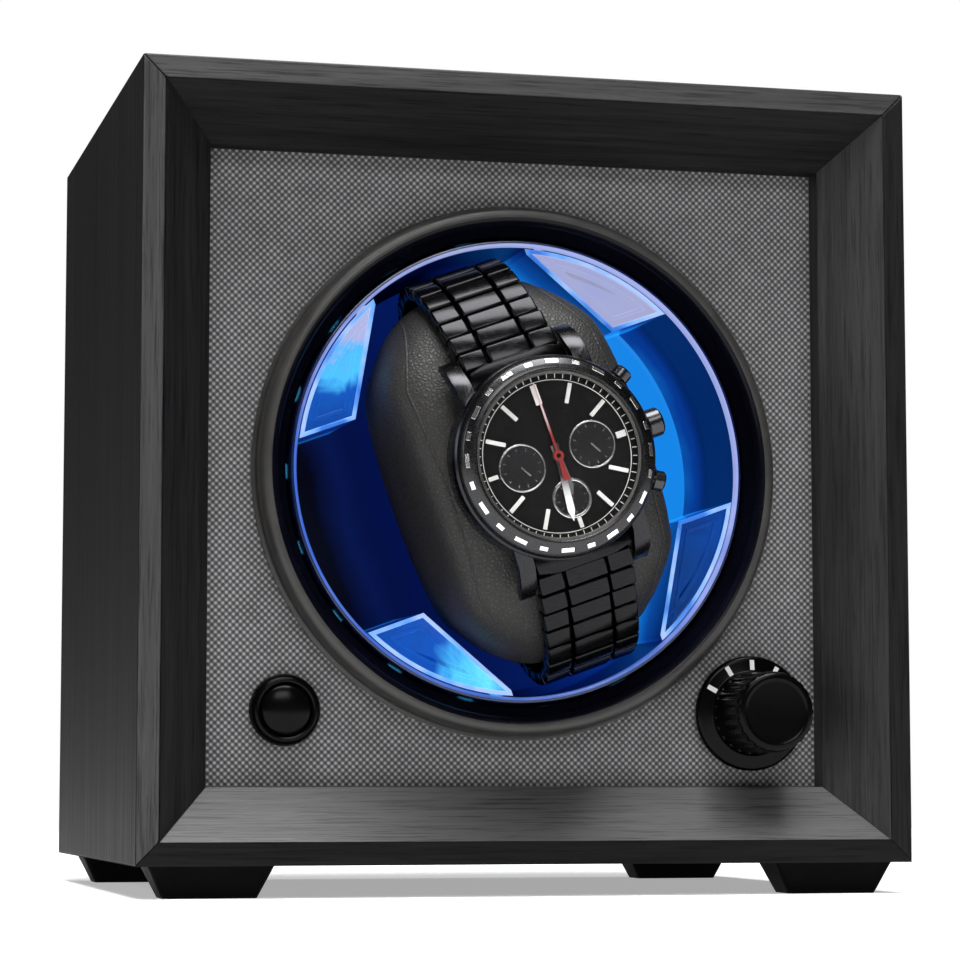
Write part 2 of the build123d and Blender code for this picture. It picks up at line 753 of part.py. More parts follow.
def lead(*points):
    """One pair of wires as a tube along straight runs joined by arcs; points are (x, y, depth)."""
    path = FilletPolyline(*[(x, y, -depth) for x, y, depth in points], radius=LEAD_BEND)
    start = Plane(origin=path @ 0, z_dir=path % 0)
    return sweep(start * Circle(LEAD_R), path=path)


def wiring_loom():
    """The five pairs of wires that run to plugs on the circuit board."""
    over = PLUG_TOP + LEAD_RISE
    power_x, power_d = LEAD_PLUGS["power"]
    motor_x, motor_d = LEAD_PLUGS["motor"]
    mode_x, mode_d = LEAD_PLUGS["mode"]
    light_x, light_d = LEAD_PLUGS["light"]
    button_x, button_d = LEAD_PLUGS["button"]
    motor_end = HOUSING_END + GEARBOX_L + MOTOR_L
    light_y = -HOUSING_BORE_R - 8
    return [
        lead(
            (JACK_X, JACK_Y, BACK_FRONT - JACK_L),
            (JACK_X, JACK_Y, power_d),
            (power_x, over, power_d),
            (power_x, PLUG_TOP, power_d),
        ),
        lead((motor_x, -MOTOR_OFFSET, motor_end), (motor_x, -MOTOR_OFFSET, motor_d), (motor_x, PLUG_TOP, motor_d)),
        lead(
            (KNOB_X, KNOB_Y, SWITCH_END),
            (KNOB_X, KNOB_Y, LEAD_TURN),
            (mode_x, over, mode_d),
            (mode_x, PLUG_TOP, mode_d),
        ),
        lead(
            (0, -HOUSING_BORE_R + STRIP_GAP, LIGHT_LEAD_D),
            (0, light_y, LIGHT_LEAD_D),
            (0, light_y, HOUSING_END + 2),
            (light_x, over, HOUSING_END + 14),
            (light_x, over, light_d),
            (light_x, PLUG_TOP, light_d),
        ),
        lead(
            (BUTTON_X, BUTTON_Y, BUTTON_SWITCH_END),
            (BUTTON_X, BUTTON_Y, LEAD_TURN),
            (button_x, over, button_d),
            (button_x, PLUG_TOP, button_d),
        ),
    ]


# ---------------------------------------------------------------- knob and button


def hexagon_nut(radius, bore, front, back, x, y):
    nut = Pos(x, y, -back) * extrude(RegularPolygon(radius, 6), back - front)
    return nut - rod(bore, front, back, x, y)


def switch_body():
    half = SWITCH_SIDE / 2
    body = slab((KNOB_X - half, KNOB_X + half), (KNOB_Y - half, KNOB_Y + half), BAFFLE_BACK, SWITCH_END)
    body += rod(SWITCH_BUSH_R, NUT_FRONT - 0.5, BAFFLE_BACK, KNOB_X, KNOB_Y)
    return body - rod(SWITCH_SHAFT_R + RUNNING_GAP, NUT_FRONT - 0.5, SWITCH_END - 4, KNOB_X, KNOB_Y)


def switch_nut():
    return hexagon_nut(SWITCH_NUT_R, SWITCH_BUSH_R, NUT_FRONT, MOULDING_D, KNOB_X, KNOB_Y)


def switch_shaft():
    return rod(SWITCH_SHAFT_R, KNOB_FRONT + SHAFT_INTO_KNOB, SWITCH_END - 4.5, KNOB_X, KNOB_Y)


def mode_knob():
    """A fluted body on a thin skirt, hollow behind to cover the nut."""
    skirt_front = KNOB_BACK - SKIRT_T
    knob = turned(
        (0, KNOB_FRONT),
        (KNOB_R - 1.3, KNOB_FRONT),
        (KNOB_R - 0.5, KNOB_FRONT + 0.5),
        (KNOB_R - 0.3, KNOB_FRONT + 1.2),
        (KNOB_R, skirt_front - 0.5),
        (KNOB_R + 0.4, skirt_front),
        (KNOB_SKIRT_R - 0.6, skirt_front + 0.4),
        (KNOB_SKIRT_R, skirt_front + 1.0),
        (KNOB_SKIRT_R, KNOB_BACK),
        (KNOB_BORE_R, KNOB_BACK),
        (KNOB_BORE_R, NUT_FRONT - 1.0),
        (0, NUT_FRONT - 1.0),
    )
    for x, y in around(KNOB_R + 0.25, FLUTES):
        knob -= rod(FLUTE_R, KNOB_FRONT, skirt_front - FLUTE_R, x, y)
    knob -= rod(SWITCH_SHAFT_R, KNOB_FRONT + SHAFT_INTO_KNOB, NUT_FRONT)
    return Pos(KNOB_X, KNOB_Y, 0) * knob


def button_housing():
    bore = BUTTON_CAP_R + RUNNING_GAP
    ring = turned(
        (bore, BUTTON_RING_FRONT + 0.7),
        (bore + 0.7, BUTTON_RING_FRONT),
        (BUTTON_RING_R - 0.9, BUTTON_RING_FRONT + 0.2),
        (BUTTON_RING_R - 0.2, BUTTON_RING_FRONT + 1.0),
        (BUTTON_RING_R, BUTTON_RING_FRONT + 1.8),
        (BUTTON_RING_R, MOULDING_D),
        (BUTTON_BARREL_R, MOULDING_D),
        (BUTTON_BARREL_R, BARREL_END),
        (bore, BARREL_END),
    )
    return Pos(BUTTON_X, BUTTON_Y, 0) * ring


def button_nut():
    return hexagon_nut(
        BUTTON_NUT_R, BUTTON_BARREL_R, BAFFLE_BACK, BAFFLE_BACK + BUTTON_NUT_T, BUTTON_X, BUTTON_Y
    )


def button_switch():
    half = BUTTON_SWITCH_HALF
    body = slab((BUTTON_X - half, BUTTON_X + half), (BUTTON_Y - half, BUTTON_Y + half), BARREL_END, BUTTON_SWITCH_END)
    bore_end = STEM_END + BUTTON_TRAVEL + 1.0
    return body - rod(STEM_R + RUNNING_GAP, BARREL_END, bore_end, BUTTON_X, BUTTON_Y)


def button_cap():
    """A domed cap with a stem that reaches into the switch."""
    rim = BUTTON_RING_FRONT + CAP_RIM
    sphere_r = (BUTTON_CAP_R**2 + DOME_H**2) / (2 * DOME_H)
    dome = []
    for i in range(DOME_STEPS + 1):
        radius = BUTTON_CAP_R + (DOME_FLAT_R - BUTTON_CAP_R) * i / DOME_STEPS
        dome.append((radius, rim - DOME_H + sphere_r - math.sqrt(sphere_r**2 - radius**2)))
    crown = dome[-1][1]
    cap = turned((0, STEM_END), (STEM_R, STEM_END), (STEM_R, CAP_BACK), (BUTTON_CAP_R, CAP_BACK), *dome, (0, crown))
    return Pos(BUTTON_X, BUTTON_Y, 0) * cap


# ---------------------------------------------------------------- cushion and watch


def oval(half_l, half_t, half_w):
    """An oval across the drum's height and depth, as a bar along x. Its centre is CUSHION_MID above the front."""
    side = Plane(origin=(-half_w, 0, CUSHION_MID), x_dir=(0, 1, 0), z_dir=(1, 0, 0))
    return extrude(side * Ellipse(half_l, half_t), 2 * half_w)


def cushion():
    """An oval cushion whose slanted corners lie along the drum's corner blocks."""
    outline = [
        (CUSHION_HALF_W, -CUSHION_SHOULDER),
        (CUSHION_HALF_W, CUSHION_SHOULDER),
        (CUSHION_END_W, CUSHION_HALF_L),
        (-CUSHION_END_W, CUSHION_HALF_L),
        (-CUSHION_HALF_W, CUSHION_SHOULDER),
        (-CUSHION_HALF_W, -CUSHION_SHOULDER),
        (-CUSHION_END_W, -CUSHION_HALF_L),
        (CUSHION_END_W, -CUSHION_HALF_L),
    ]
    plan = make_face(Polyline(*outline, close=True))
    plan = fillet(plan.vertices(), CUSHION_CORNER_R)
    bar = Pos(0, 0, CUSHION_MID - CUSHION_HALF_T) * extrude(plan, 2 * CUSHION_HALF_T)
    return drum_frame(bar & oval(CUSHION_HALF_L, CUSHION_HALF_T, CUSHION_HALF_W + 1))


def strap_band(extra, half_w):
    gap = STRAP_GAP
    outer = oval(CUSHION_HALF_L + gap + STRAP_T, CUSHION_HALF_T + gap + STRAP_T + extra, half_w)
    return outer - oval(CUSHION_HALF_L + gap, CUSHION_HALF_T + gap, half_w)


def bracelet(side):
    """Half the bracelet, from the case round one end of the cushion to the clasp behind it."""
    band = strap_band(0, STRAP_HALF_W)
    reach = CUSHION_HALF_L + STRAP_T + 2
    keep = Pos(0, side * (CASE_R - 8 + reach) / 2, CUSHION_MID) * Box(40, reach - CASE_R + 8, 80)
    behind = CUSHION_MID - 40
    keep -= Pos(0, 0, CASE_BASE - 12) * Cylinder(CASE_R + 0.2, 30, align=UPRIGHT)
    keep -= Pos(0, 0, behind) * Box(40, 2 * CLASP_HALF_L, 40, align=UPRIGHT)
    return drum_frame(band & keep)


def bracelet_clasp():
    band = strap_band(CLASP_EXTRA, CLASP_HALF_W)
    low = CUSHION_MID - CUSHION_HALF_T - 6
    keep = Pos(0, 0, low) * Box(40, 2 * CLASP_HALF_L, 12, align=UPRIGHT)
    return drum_frame(band & keep)


def lug(side_x, side_y):
    across = Plane(origin=(STRAP_HALF_W + LUG_GAP, 0, 0), x_dir=(0, 1, 0), z_dir=(1, 0, 0))
    shape = extrude(across * make_face(Polyline(*LUG_OUTLINE, close=True)), LUG_W)
    if side_x < 0:
        shape = mirror(shape, Plane.YZ)
    if side_y < 0:
        shape = mirror(shape, Plane.XZ)
    return shape


def case_hole(angle, radius, height):
    out = Rot(0, 0, angle) * Pos(CASE_R - 2 * CASE_WALL, 0, height) * Rot(0, 90, 0)
    return out * Cylinder(radius, 3 * CASE_WALL, align=UPRIGHT)


def watch_case():
    height = CASE_TOP - CASE_BASE
    drum = Pos(0, 0, CASE_BASE) * Cylinder(CASE_R, height, align=UPRIGHT)
    drum = chamfer(drum.edges().filter_by(GeomType.CIRCLE), 0.8)
    for side_x in (-1, 1):
        for side_y in (-1, 1):
            drum += lug(side_x, side_y)
    drum -= Pos(0, 0, CASE_BASE + 2.0) * Cylinder(CASE_R - CASE_WALL, height, align=UPRIGHT)
    drum -= case_hole(0, CROWN_STEM_R + RUNNING_GAP, CROWN_HEIGHT)
    for angle in (-PUSHER_ANGLE, PUSHER_ANGLE):
        drum -= case_hole(angle, PUSHER_STEM_R + RUNNING_GAP, CROWN_HEIGHT)
    return drum_frame(drum)


def watch_bezel():
    return drum_frame(turned(*[(radius, -(CASE_TOP + height)) for radius, height in WATCH_BEZEL_OUTLINE]))


def watch_crystal():
    glass = Pos(0, 0, CRYSTAL_BASE) * Cylinder(DIAL_R + 0.1, CRYSTAL_TOP - CRYSTAL_BASE, align=UPRIGHT)
    return drum_frame(chamfer(glass.edges().sort_by(Axis.Z)[-1], 0.4))


def watch_dial():
    disc = Pos(0, 0, DIAL_BASE) * Cylinder(DIAL_R, DIAL_TOP - DIAL_BASE, align=UPRIGHT)
    post = Pos(0, 0, DIAL_TOP) * Cylinder(HAND_POST_R, HAND_POST_H, align=UPRIGHT)
    return drum_frame(disc + post)


def hand(level, outline, angle):
    """A flat hand on the post. Its outline points up the drum frame's y, then it is turned by an angle."""
    base = DIAL_TOP + level * HAND_STEP
    blade = extrude(make_face(Polyline(*outline, close=True)), HAND_T) + Cylinder(HAND_HUB_R, HAND_T, align=UPRIGHT)
    blade -= Cylinder(HAND_POST_R + RUNNING_GAP, HAND_T, align=UPRIGHT)
    return drum_frame(Rot(0, 0, angle) * Pos(0, 0, base) * blade)


def side_part(angle, *outline):
    """A turned piece that stands out of the case's side. Its outline has (radius, distance from the dial's centre)."""
    body = revolve(Plane.XZ * make_face(Polyline(*outline, close=True)), Axis.Z)
    return Rot(0, 0, angle) * Pos(0, 0, CROWN_HEIGHT) * Rot(0, 90, 0) * body


def watch_crown():
    inner = CASE_R + SIDE_GAP
    crown = side_part(
        0,
        (0, CASE_R - 3.0),
        (CROWN_STEM_R, CASE_R - 3.0),
        (CROWN_STEM_R, inner),
        (CROWN_R - 0.3, inner),
        (CROWN_R, inner + 0.4),
        (CROWN_R, CROWN_OUT - 0.5),
        (CROWN_R - 0.5, CROWN_OUT),
        (0, CROWN_OUT),
    )
    return drum_frame(crown)


def pusher(angle):
    head = CASE_R + SIDE_GAP + PUSHER_TRAVEL
    shape = side_part(
        angle,
        (0, CASE_R - 2.4),
        (PUSHER_STEM_R, CASE_R - 2.4),
        (PUSHER_STEM_R, head),
        (PUSHER_R, head),
        (PUSHER_R, PUSHER_OUT - 0.4),
        (PUSHER_R - 0.4, PUSHER_OUT),
        (0, PUSHER_OUT),
    )
    return drum_frame(shape)


def main():
    os.makedirs("parts", exist_ok=True)
    boards = panels()
    boards["bottom_panel"] = drill_bottom(boards["bottom_panel"])
    pieces = {
        **boards,
        **drill_mouldings(mouldings()),
        "baffle_board": baffle_board(),
        "grille_cloth": grille_cloth(),
        "back_panel": back_panel(),
        "bezel_ring": bezel_ring(),
        "drum_housing": drum_housing(),
        "light_strip": light_strip(),
        "drum_bush": drum_bush(),
        "motor_gearbox": motor_gearbox(),
        "motor_can": motor_can(),
        "circuit_board": circuit_board(),
        "dc_jack": dc_jack(),
        "switch_body": switch_body(),
        "switch_nut": switch_nut(),
        "button_housing": button_housing(),
        "button_nut": button_nut(),
        "button_switch": button_switch(),
        "mode_knob": mode_knob(),
        "switch_shaft": switch_shaft(),
        "button_cap": button_cap(),
        "drum_cup": drum_cup(),
        "drum_flange": drum_flange(),
        "drum_shaft": drum_shaft(),
        "drive_gear": drive_gear(),
        "shaft_clip": shaft_clip(),
        "motor_pinion": motor_pinion(),
        "motor_shaft": motor_shaft(),
        "cushion": cushion(),
        "bracelet_upper": bracelet(1),
        "bracelet_lower": bracelet(-1),
        "bracelet_clasp": bracelet_clasp(),
        "watch_case": watch_case(),
        "watch_bezel": watch_bezel(),
        "watch_crystal": watch_crystal(),
        "watch_dial": watch_dial(),
        "hour_hand": hand(1, HOUR_HAND, HOUR_ANGLE),
        "minute_hand": hand(2, MINUTE_HAND, MINUTE_ANGLE),
        "seconds_hand": hand(3, SECONDS_HAND, 0),
        "watch_crown": watch_crown(),
        "upper_pusher": pusher(PUSHER_ANGLE),
        "lower_pusher": pusher(-PUSHER_ANGLE),
    }
    groups = {
        "baffle_screws": baffle_screws(),
        "back_battens": back_battens(),
        "back_screws": back_screws(),
        "feet": feet(),
        "foot_screws": foot_screws(),
        "housing_screws": housing_screws(),
        "light_chips": light_chips(),
        "motor_screws": motor_screws(),
        "board_standoffs": board_standoffs(),
        "board_components": board_components(),
        "wiring_loom": wiring_loom(),
        "drum_corner_blocks": corner_blocks(),
    }
    for node, shape in pieces.items():
        write(node, shape)
    for node, shapes in groups.items():
        write(node, Compound(children=list(shapes)))


main()
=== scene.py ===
import bmesh
import bpy
import math
from mathutils import Matrix, Vector
from mathutils.bvhtree import BVHTree


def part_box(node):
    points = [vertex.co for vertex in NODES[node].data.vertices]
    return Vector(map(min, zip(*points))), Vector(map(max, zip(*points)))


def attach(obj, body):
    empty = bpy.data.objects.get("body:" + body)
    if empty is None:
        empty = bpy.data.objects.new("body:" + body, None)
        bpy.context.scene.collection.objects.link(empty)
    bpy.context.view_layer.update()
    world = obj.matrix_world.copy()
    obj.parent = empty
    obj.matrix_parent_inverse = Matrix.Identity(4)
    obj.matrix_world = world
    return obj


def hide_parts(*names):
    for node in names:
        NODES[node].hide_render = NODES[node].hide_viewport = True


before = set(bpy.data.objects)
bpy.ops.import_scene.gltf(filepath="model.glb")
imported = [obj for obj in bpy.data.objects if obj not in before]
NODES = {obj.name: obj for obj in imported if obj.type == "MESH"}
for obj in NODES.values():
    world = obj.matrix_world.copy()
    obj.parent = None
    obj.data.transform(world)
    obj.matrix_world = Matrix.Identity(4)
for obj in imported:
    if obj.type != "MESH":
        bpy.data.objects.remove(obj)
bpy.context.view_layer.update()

# The looks of the watch winder. Sizes below are in millimetres; everything Blender holds is in metres.
# The face frame has its origin on the drum's axis at the cabinet's front plane: x to the right, y up and z
# towards the viewer, so a depth into the cabinet is a negative z. The drum frame is the face frame turned by
# DRUM_TURN.
MM = 0.001
DRUM_TURN = math.radians(20)

PANEL_LOW, PANEL_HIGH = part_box("left_panel")
BEZEL_LOW, BEZEL_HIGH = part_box("bezel_ring")
FRONT_Y = PANEL_LOW.y
AXIS_X = (BEZEL_LOW.x + BEZEL_HIGH.x) / 2
AXIS_Z = (BEZEL_LOW.z + BEZEL_HIGH.z) / 2
KNOB_LOW, KNOB_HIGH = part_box("mode_knob")
BUTTON_LOW, BUTTON_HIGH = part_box("button_housing")
CLOTH_LOW, CLOTH_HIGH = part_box("grille_cloth")

KNOB_X = ((KNOB_LOW.x + KNOB_HIGH.x) / 2 - AXIS_X) / MM
KNOB_Y = ((KNOB_LOW.z + KNOB_HIGH.z) / 2 - AXIS_Z) / MM
BUTTON_X = ((BUTTON_LOW.x + BUTTON_HIGH.x) / 2 - AXIS_X) / MM
BUTTON_Y = ((BUTTON_LOW.z + BUTTON_HIGH.z) / 2 - AXIS_Z) / MM
CLOTH_DEPTH = (CLOTH_LOW.y - FRONT_Y) / MM
RIM_DEPTH = (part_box("drum_cup")[0].y - FRONT_Y) / MM

# Cabinet: the radius of each kind of softened edge, and how a panel's front lip is told from its other faces.
PANEL_EDGE = 0.45
MOULDING_EDGE = 0.25
BACK_EDGE = 0.3
FOOT_EDGE = 0.5
LIP_NORMAL_Y = -0.9
FLAT_AREA = 100 * MM**2

# Cloth: a square cut with a round hole for the bezel, glued on its board.
CLOTH_HOLE_R = 55.4
CLOTH_INSET = 0.1
CLOTH_SINK = 0.12
THREAD_PITCH = 0.75
THREAD_RELIEF = 0.07
KNOB_HOLE_R = 3.7
BUTTON_HOLE_R = 6.6

# Bezel ring: an oval crest between a bore and an outer foot, as (radius, z) points.
CREST_R = 54.05
CREST_Z = -12.0
CREST_HALF_W = 2.15
CREST_HALF_H = 2.5
CREST_ARC = (176, 4)
CREST_STEPS = 18
SHADED_GLOSS_STEPS = 8
BEZEL_BORE = [(50.0, -20.9), (50.0, -14.3), (50.25, -13.8)]
BEZEL_FOOT = [
    (56.2, -13.6), (56.2, -15.3), (56.5, -15.55), (57.0, -15.75),
    (57.0, -16.45), (54.0, -16.5), (54.0, -20.9),
]

# Drum: the cup's rim and outside as (radius, z) points, its wall, its cove and its floor.
CUP_R = 47.9
CUP_FLOOR_Z = -43.0
CUP_COVE = 3.0
COVE_TURNS = (0, 0.39, 0.79, 1.18, 1.57)
CUP_STEP_Z = (-30.0, -20.0)
CUP_RIM = [
    (CUP_R, -14.0), (47.92, -13.0), (48.15, -12.62),
    (48.6, -12.5), (49.05, -12.62), (49.28, -13.0), (49.3, -14.0),
]
CUP_OUTER = [(49.3, -44.0), (48.6, -45.3), (14.0, -45.5), (0, -45.5)]
GLOWING_RIM_FACES = 3

# Corner blocks: an arc of the cup, two straight sides and a slant beside the cushion.
BLOCK_R = 47.6
BLOCK_LOW_Y = 21.5
BLOCK_LOW_X = 17.5
BLOCK_SLANT = ((29.8, 21.5), (20.2, 38.3))
BLOCK_ARC_STEPS = 14
BLOCK_SINK = 0.6
BLOCK_FOOT_Z = -42.8
# Each level is how far the outline shrinks and how far the level lies behind the block's front.
BLOCK_LEVELS = (
    (0.0, 0.35), (0.3, 0.0), (0.65, 0.0), (0.9, 0.3), (1.0, 1.1), (2.1, 1.15), (2.3, 0.75), (2.9, 0.75),
    (3.1, 1.3),
)
BLOCK_LEAST_SHRINK = 0.001
BLOCK_EDGE_LEVELS = (1, 2, 3)

# Knob: a fluted body on a thin skirt, with its ticks laid on the skirt's slope.
KNOB_FRONT_Z = 2.0
KNOB_FACE = [(0, -0.25), (6.5, -0.2), (6.9, 0.0), (7.7, -0.1), (8.3, -0.6), (8.5, -1.4)]
KNOB_SIDE = [(8.6, -3.0), (8.65, -9.0), (8.7, -12.6), (8.8, -13.2), (9.1, -13.7)]
KNOB_SKIRT = [
    (11.6, -14.05), (12.05, -14.3), (12.3, -14.8), (12.3, -15.6), (12.1, -15.9), (6.6, -15.9), (6.6, -13.3),
]
KNOB_BORE_END = [(0, -13.3)]
FLUTES = 24
FLUTE_DEPTH = 0.42
FLUTE_RADII = (8.2, 8.75)
TICK_ANGLES = (60, 90, 120, 150)
TICK_PLACE = (10.35, 0, -13.80)
TICK_SIZE = (2.2, 1.0, 0.12)
TICK_TILT = 9.4

# Power button: its ring and its dome, as (radius, z) points.
RING_INSIDE = [(5.45, -26.9), (5.45, -14.4), (5.7, -13.9), (6.1, -13.7), (6.6, -13.85)]
RING_OUTSIDE = [(7.2, -14.5), (7.5, -15.5), (7.5, -16.5), (6.4, -16.5), (6.4, -26.9)]
DOME_TOP = [
    (0, -12.8), (1.5, -12.85), (3.0, -13.1), (4.2, -13.5), (4.9, -13.85), (5.25, -14.15), (5.4, -14.6),
]
DOME_STEM = [(5.4, -20), (1.5, -20), (1.5, -29), (0, -29)]

# Cushion: straight beside the watch, slanted past its shoulders, plump all round.
CUSHION_MID = -15.0
CUSHION_HALF = Vector((26.3, 40.5, 22.6))
CUSHION_END_W = 17.4
CUSHION_SHOULDER = 25.2
CUSHION_CUTS = 23
CUSHION_SIDE_SQUASH = 0.13
CUSHION_FACE_SQUASH = 0.10
CUSHION_START = 0.985
CUSHION_VOXEL = 2.2
CUSHION_SWELL = 0.9
SWELL_FRAMES = 18
SEAM_STEPS = 260
SEAM_SIDES = 6
SEAM_PLACE = 0.80
SEAM_R = 0.32
SEAM_FLATTEN = 0.7
SEAM_REACH = 1.4

# Bracelet: rows of three links that follow an oval round the cushion.
STRAP_A = 43.0
STRAP_B = 25.0
STRAP_T = 3.0
STRAP_SPAN = (32, 160)
LINK_PITCH = 4.4
LINK_GAP = 0.28
LINK_SIDE_GAP = 0.22
LINK_EDGE = 0.5
LINK_CROWN = 0.18
LINK_LIFT = 2.4
LINKS_ACROSS = ((0.0, 9.2), (7.75, 5.7), (-7.75, 5.7))
STRAP_WALK = 0.002
STRAP_AHEAD = 0.01
END_LINK = [(-10.6, 17.5), (10.6, 17.5), (10.6, 21.6), (6.0, 22.6), (-6.0, 22.6), (-10.6, 21.6)]
END_LINK_Z = (7.6, 12.6)

# Watch: outlines as (radius, z) points, and the dial's marks.
WATCH_EDGE = 0.3
WATCH_BEZEL_OUTSIDE = [(17.3, 16.4), (20.5, 16.4), (20.75, 16.8), (20.8, 17.4), (20.4, 18.3), (19.9, 19.0)]
WATCH_BEZEL_INSIDE = [
    (18.6, 19.75), (17.9, 20.0), (17.4, 20.0), (17.4, 19.2), (16.6, 19.2), (17.1, 17.6), (17.3, 17.6),
]
REHAUT_R = 17.3
REHAUT_Z = 17.6
BEZEL_MARKS = 24
BEZEL_MARK_WIDTHS = (1.7, 2.7)
BEZEL_MARK_LENGTH = 0.95
BEZEL_MARK_PLACE = (19.28, 0, 19.40)
BEZEL_MARK_TILT = 30
MARK_T = 0.12
MARK_EDGE = 0.05
CRYSTAL = [(0, 19.3), (17.2, 19.3), (17.25, 20.0), (16.9, 20.42), (16.2, 20.5), (0, 20.5)]
DIAL_Z = 17.4
DIAL_R = 17.2
DIAL = [
    (0, 16.6), (DIAL_R, 16.6), (DIAL_R, 17.5), (15.7, 17.5),
    (15.6, DIAL_Z), (0.45, DIAL_Z), (0.45, 18.66), (0, 18.66),
]
TRACK = [(15.55, DIAL_Z), (15.68, DIAL_Z), (15.68, 17.53), (15.55, 17.53)]
HOURS = 12
MINUTES = 60
HOUR_MARK = (11.0, 15.2)
SHORT_HOUR_MARK = (13.2, 15.3)
SHORT_HOURS = (3, 6, 9)
WIDE_HOURS = (0, 3)
HOUR_MARK_WIDTHS = (0.85, 1.35)
HOUR_MARK_T = 0.3
HOUR_MARK_Z = 17.55
HOUR_MARK_EDGE = 0.08
MINUTE_MARK_LENGTHS = (1.1, 0.9)
MINUTE_MARK_WIDTH = 0.16
MINUTE_MARK_PLACE = (16.4, 0, 17.52)
FINE_T = 0.05
FINE_EDGE = 0.01
# Each subdial is its direction in degrees, its distance from the dial's middle and its radius.
SUBDIALS = ((0, 7.8, 4.9), (180, 7.8, 4.9), (-90, 9.0, 4.1))
SUBDIAL_BEVEL = 0.5
SUBDIAL_LOW = 0.06
SUBDIAL_HIGH = 0.1
SUBDIAL_RING_W = 0.32
BOLD_RING_W = 0.55
BOLD_SUBDIAL = -90
SUBDIAL_RING_Z = (17.48, 17.64)
SUBDIAL_TICK = (0.6, 0.14, FINE_T)
SUBDIAL_TICK_INSET = 1.1
SUBDIAL_HAND = (2.6, 0.34, 0.08)
SUBDIAL_HAND_PLACE = (1.0, 0, 17.6)
SUBDIAL_HAND_ANGLE = -60
SUBDIAL_HAND_EDGE = 0.02

# Camera: where it stands from the drum's axis, the front plane and the cabinet's foot, in metres, and
# where it looks.
CAMERA_FROM_AXIS = -0.168
CAMERA_FROM_FRONT = -0.6302
CAMERA_ABOVE_FOOT = 0.0166
CAMERA_AZIMUTH = 13.92
CAMERA_PITCH = 5.49
CAMERA_LENS = 118.3
CAMERA_SENSOR = 36

# Stage, in metres. Each softbox is its place, what it points at, its width and height, and its radiance.
FLOOR_HALF = 0.95
FLOOR_Y = -0.1
FLOOR_GLOW = 0.38
SKY_LIGHT = 0.035
DRUM_MIDDLE = (AXIS_X, FRONT_Y, AXIS_Z)
SOFTBOXES = {
    "overhead": ((-0.05, -0.30, 1.15), (0, -0.05, 0.1), 0.8, 0.55, 17.0),
    "front": ((-0.05, -1.45, 0.95), DRUM_MIDDLE, 0.8, 0.45, 9.0),
    "left": ((-1.25, -0.35, 0.42), DRUM_MIDDLE, 0.5, 0.5, 4.0),
    "behind": ((0.0, 1.2, 1.0), (0, 0.2, 0.0), 1.0, 0.6, 4.0),
}

GRAIN_STRETCH = 0.028

TO_FACE = Matrix.Translation((AXIS_X, FRONT_Y, AXIS_Z)) @ Matrix.Rotation(math.radians(90), 4, "X")
TO_DRUM = TO_FACE @ Matrix.Rotation(DRUM_TURN, 4, "Z")


# ---------------------------------------------------------------- mesh helpers


def add_object(name, mesh):
    piece = bpy.data.objects.new(name, mesh)
    bpy.context.scene.collection.objects.link(piece)
    return piece


def shade(piece, sharp_angle=35):
    """Smooth shading with sharp edges kept over an angle in degrees."""
    for polygon in piece.data.polygons:
        polygon.use_smooth = True
    piece.data.set_sharp_from_angle(angle=math.radians(sharp_angle))


def from_bmesh(name, bm, matrix, sharp_angle=35):
    """A piece from a bmesh in millimetres, with z towards the viewer, placed by a matrix."""
    bmesh.ops.recalc_face_normals(bm, faces=bm.faces)
    mesh = bpy.data.meshes.new(name)
    bm.to_mesh(mesh)
    bm.free()
    mesh.transform(matrix @ Matrix.Scale(MM, 4))
    piece = add_object(name, mesh)
    shade(piece, sharp_angle)
    return piece


def rounded(points, radius, steps=5, closed=True):
    """A polyline with its corners as short curves, which start a radius before each corner, or nearer."""
    out = []
    count = len(points)
    for i, corner in enumerate(points):
        if not closed and i in (0, count - 1):
            out.append(corner)
            continue
        here = Vector(corner)
        before = Vector(points[i - 1]) - here
        after = Vector(points[(i + 1) % count]) - here
        cut = min(radius, before.length * 0.48, after.length * 0.48)
        start = here + before.normalized() * cut
        end = here + after.normalized() * cut
        for step in range(steps + 1):
            t = step / steps
            point = start * (1 - t) ** 2 + here * 2 * t * (1 - t) + end * t**2
            out.append((point.x, point.y))
    return out


def lathe_mesh(bm, profile, segments=160, closed=True, radius_of=None, material_of=None):
    """Turns (radius, height) points about z. A point on the axis becomes a pole."""
    rings = []
    for radius, height in profile:
        if radius == 0:
            rings.append([bm.verts.new((0, 0, height))])
            continue
        ring = []
        for k in range(segments):
            angle = 2 * math.pi * k / segments
            r = radius_of(radius, height, angle) if radius_of else radius
            ring.append(bm.verts.new((r * math.cos(angle), r * math.sin(angle), height)))
        rings.append(ring)
    pairs = list(zip(rings, rings[1:]))
    if closed:
        pairs.append((rings[-1], rings[0]))
    for index, (low, high) in enumerate(pairs):
        if len(low) == 1 and len(high) == 1:
            continue
        for k in range(segments):
            nxt = (k + 1) % segments
            if len(low) == 1:
                corners = (low[0], high[k], high[nxt])
            elif len(high) == 1:
                corners = (low[k], low[nxt], high[0])
            else:
                corners = (low[k], low[nxt], high[nxt], high[k])
            face = bm.faces.new(corners)
            if material_of:
                face.material_index = material_of(index)


def turned(degrees):
    """A turn about z."""
    return Matrix.Rotation(math.radians(degrees), 4, "Z")


def lathe(name, profile, matrix=TO_FACE, sharp_angle=35, **options):
    bm = bmesh.new()
    lathe_mesh(bm, profile, **options)
    return from_bmesh(name, bm, matrix, sharp_angle)


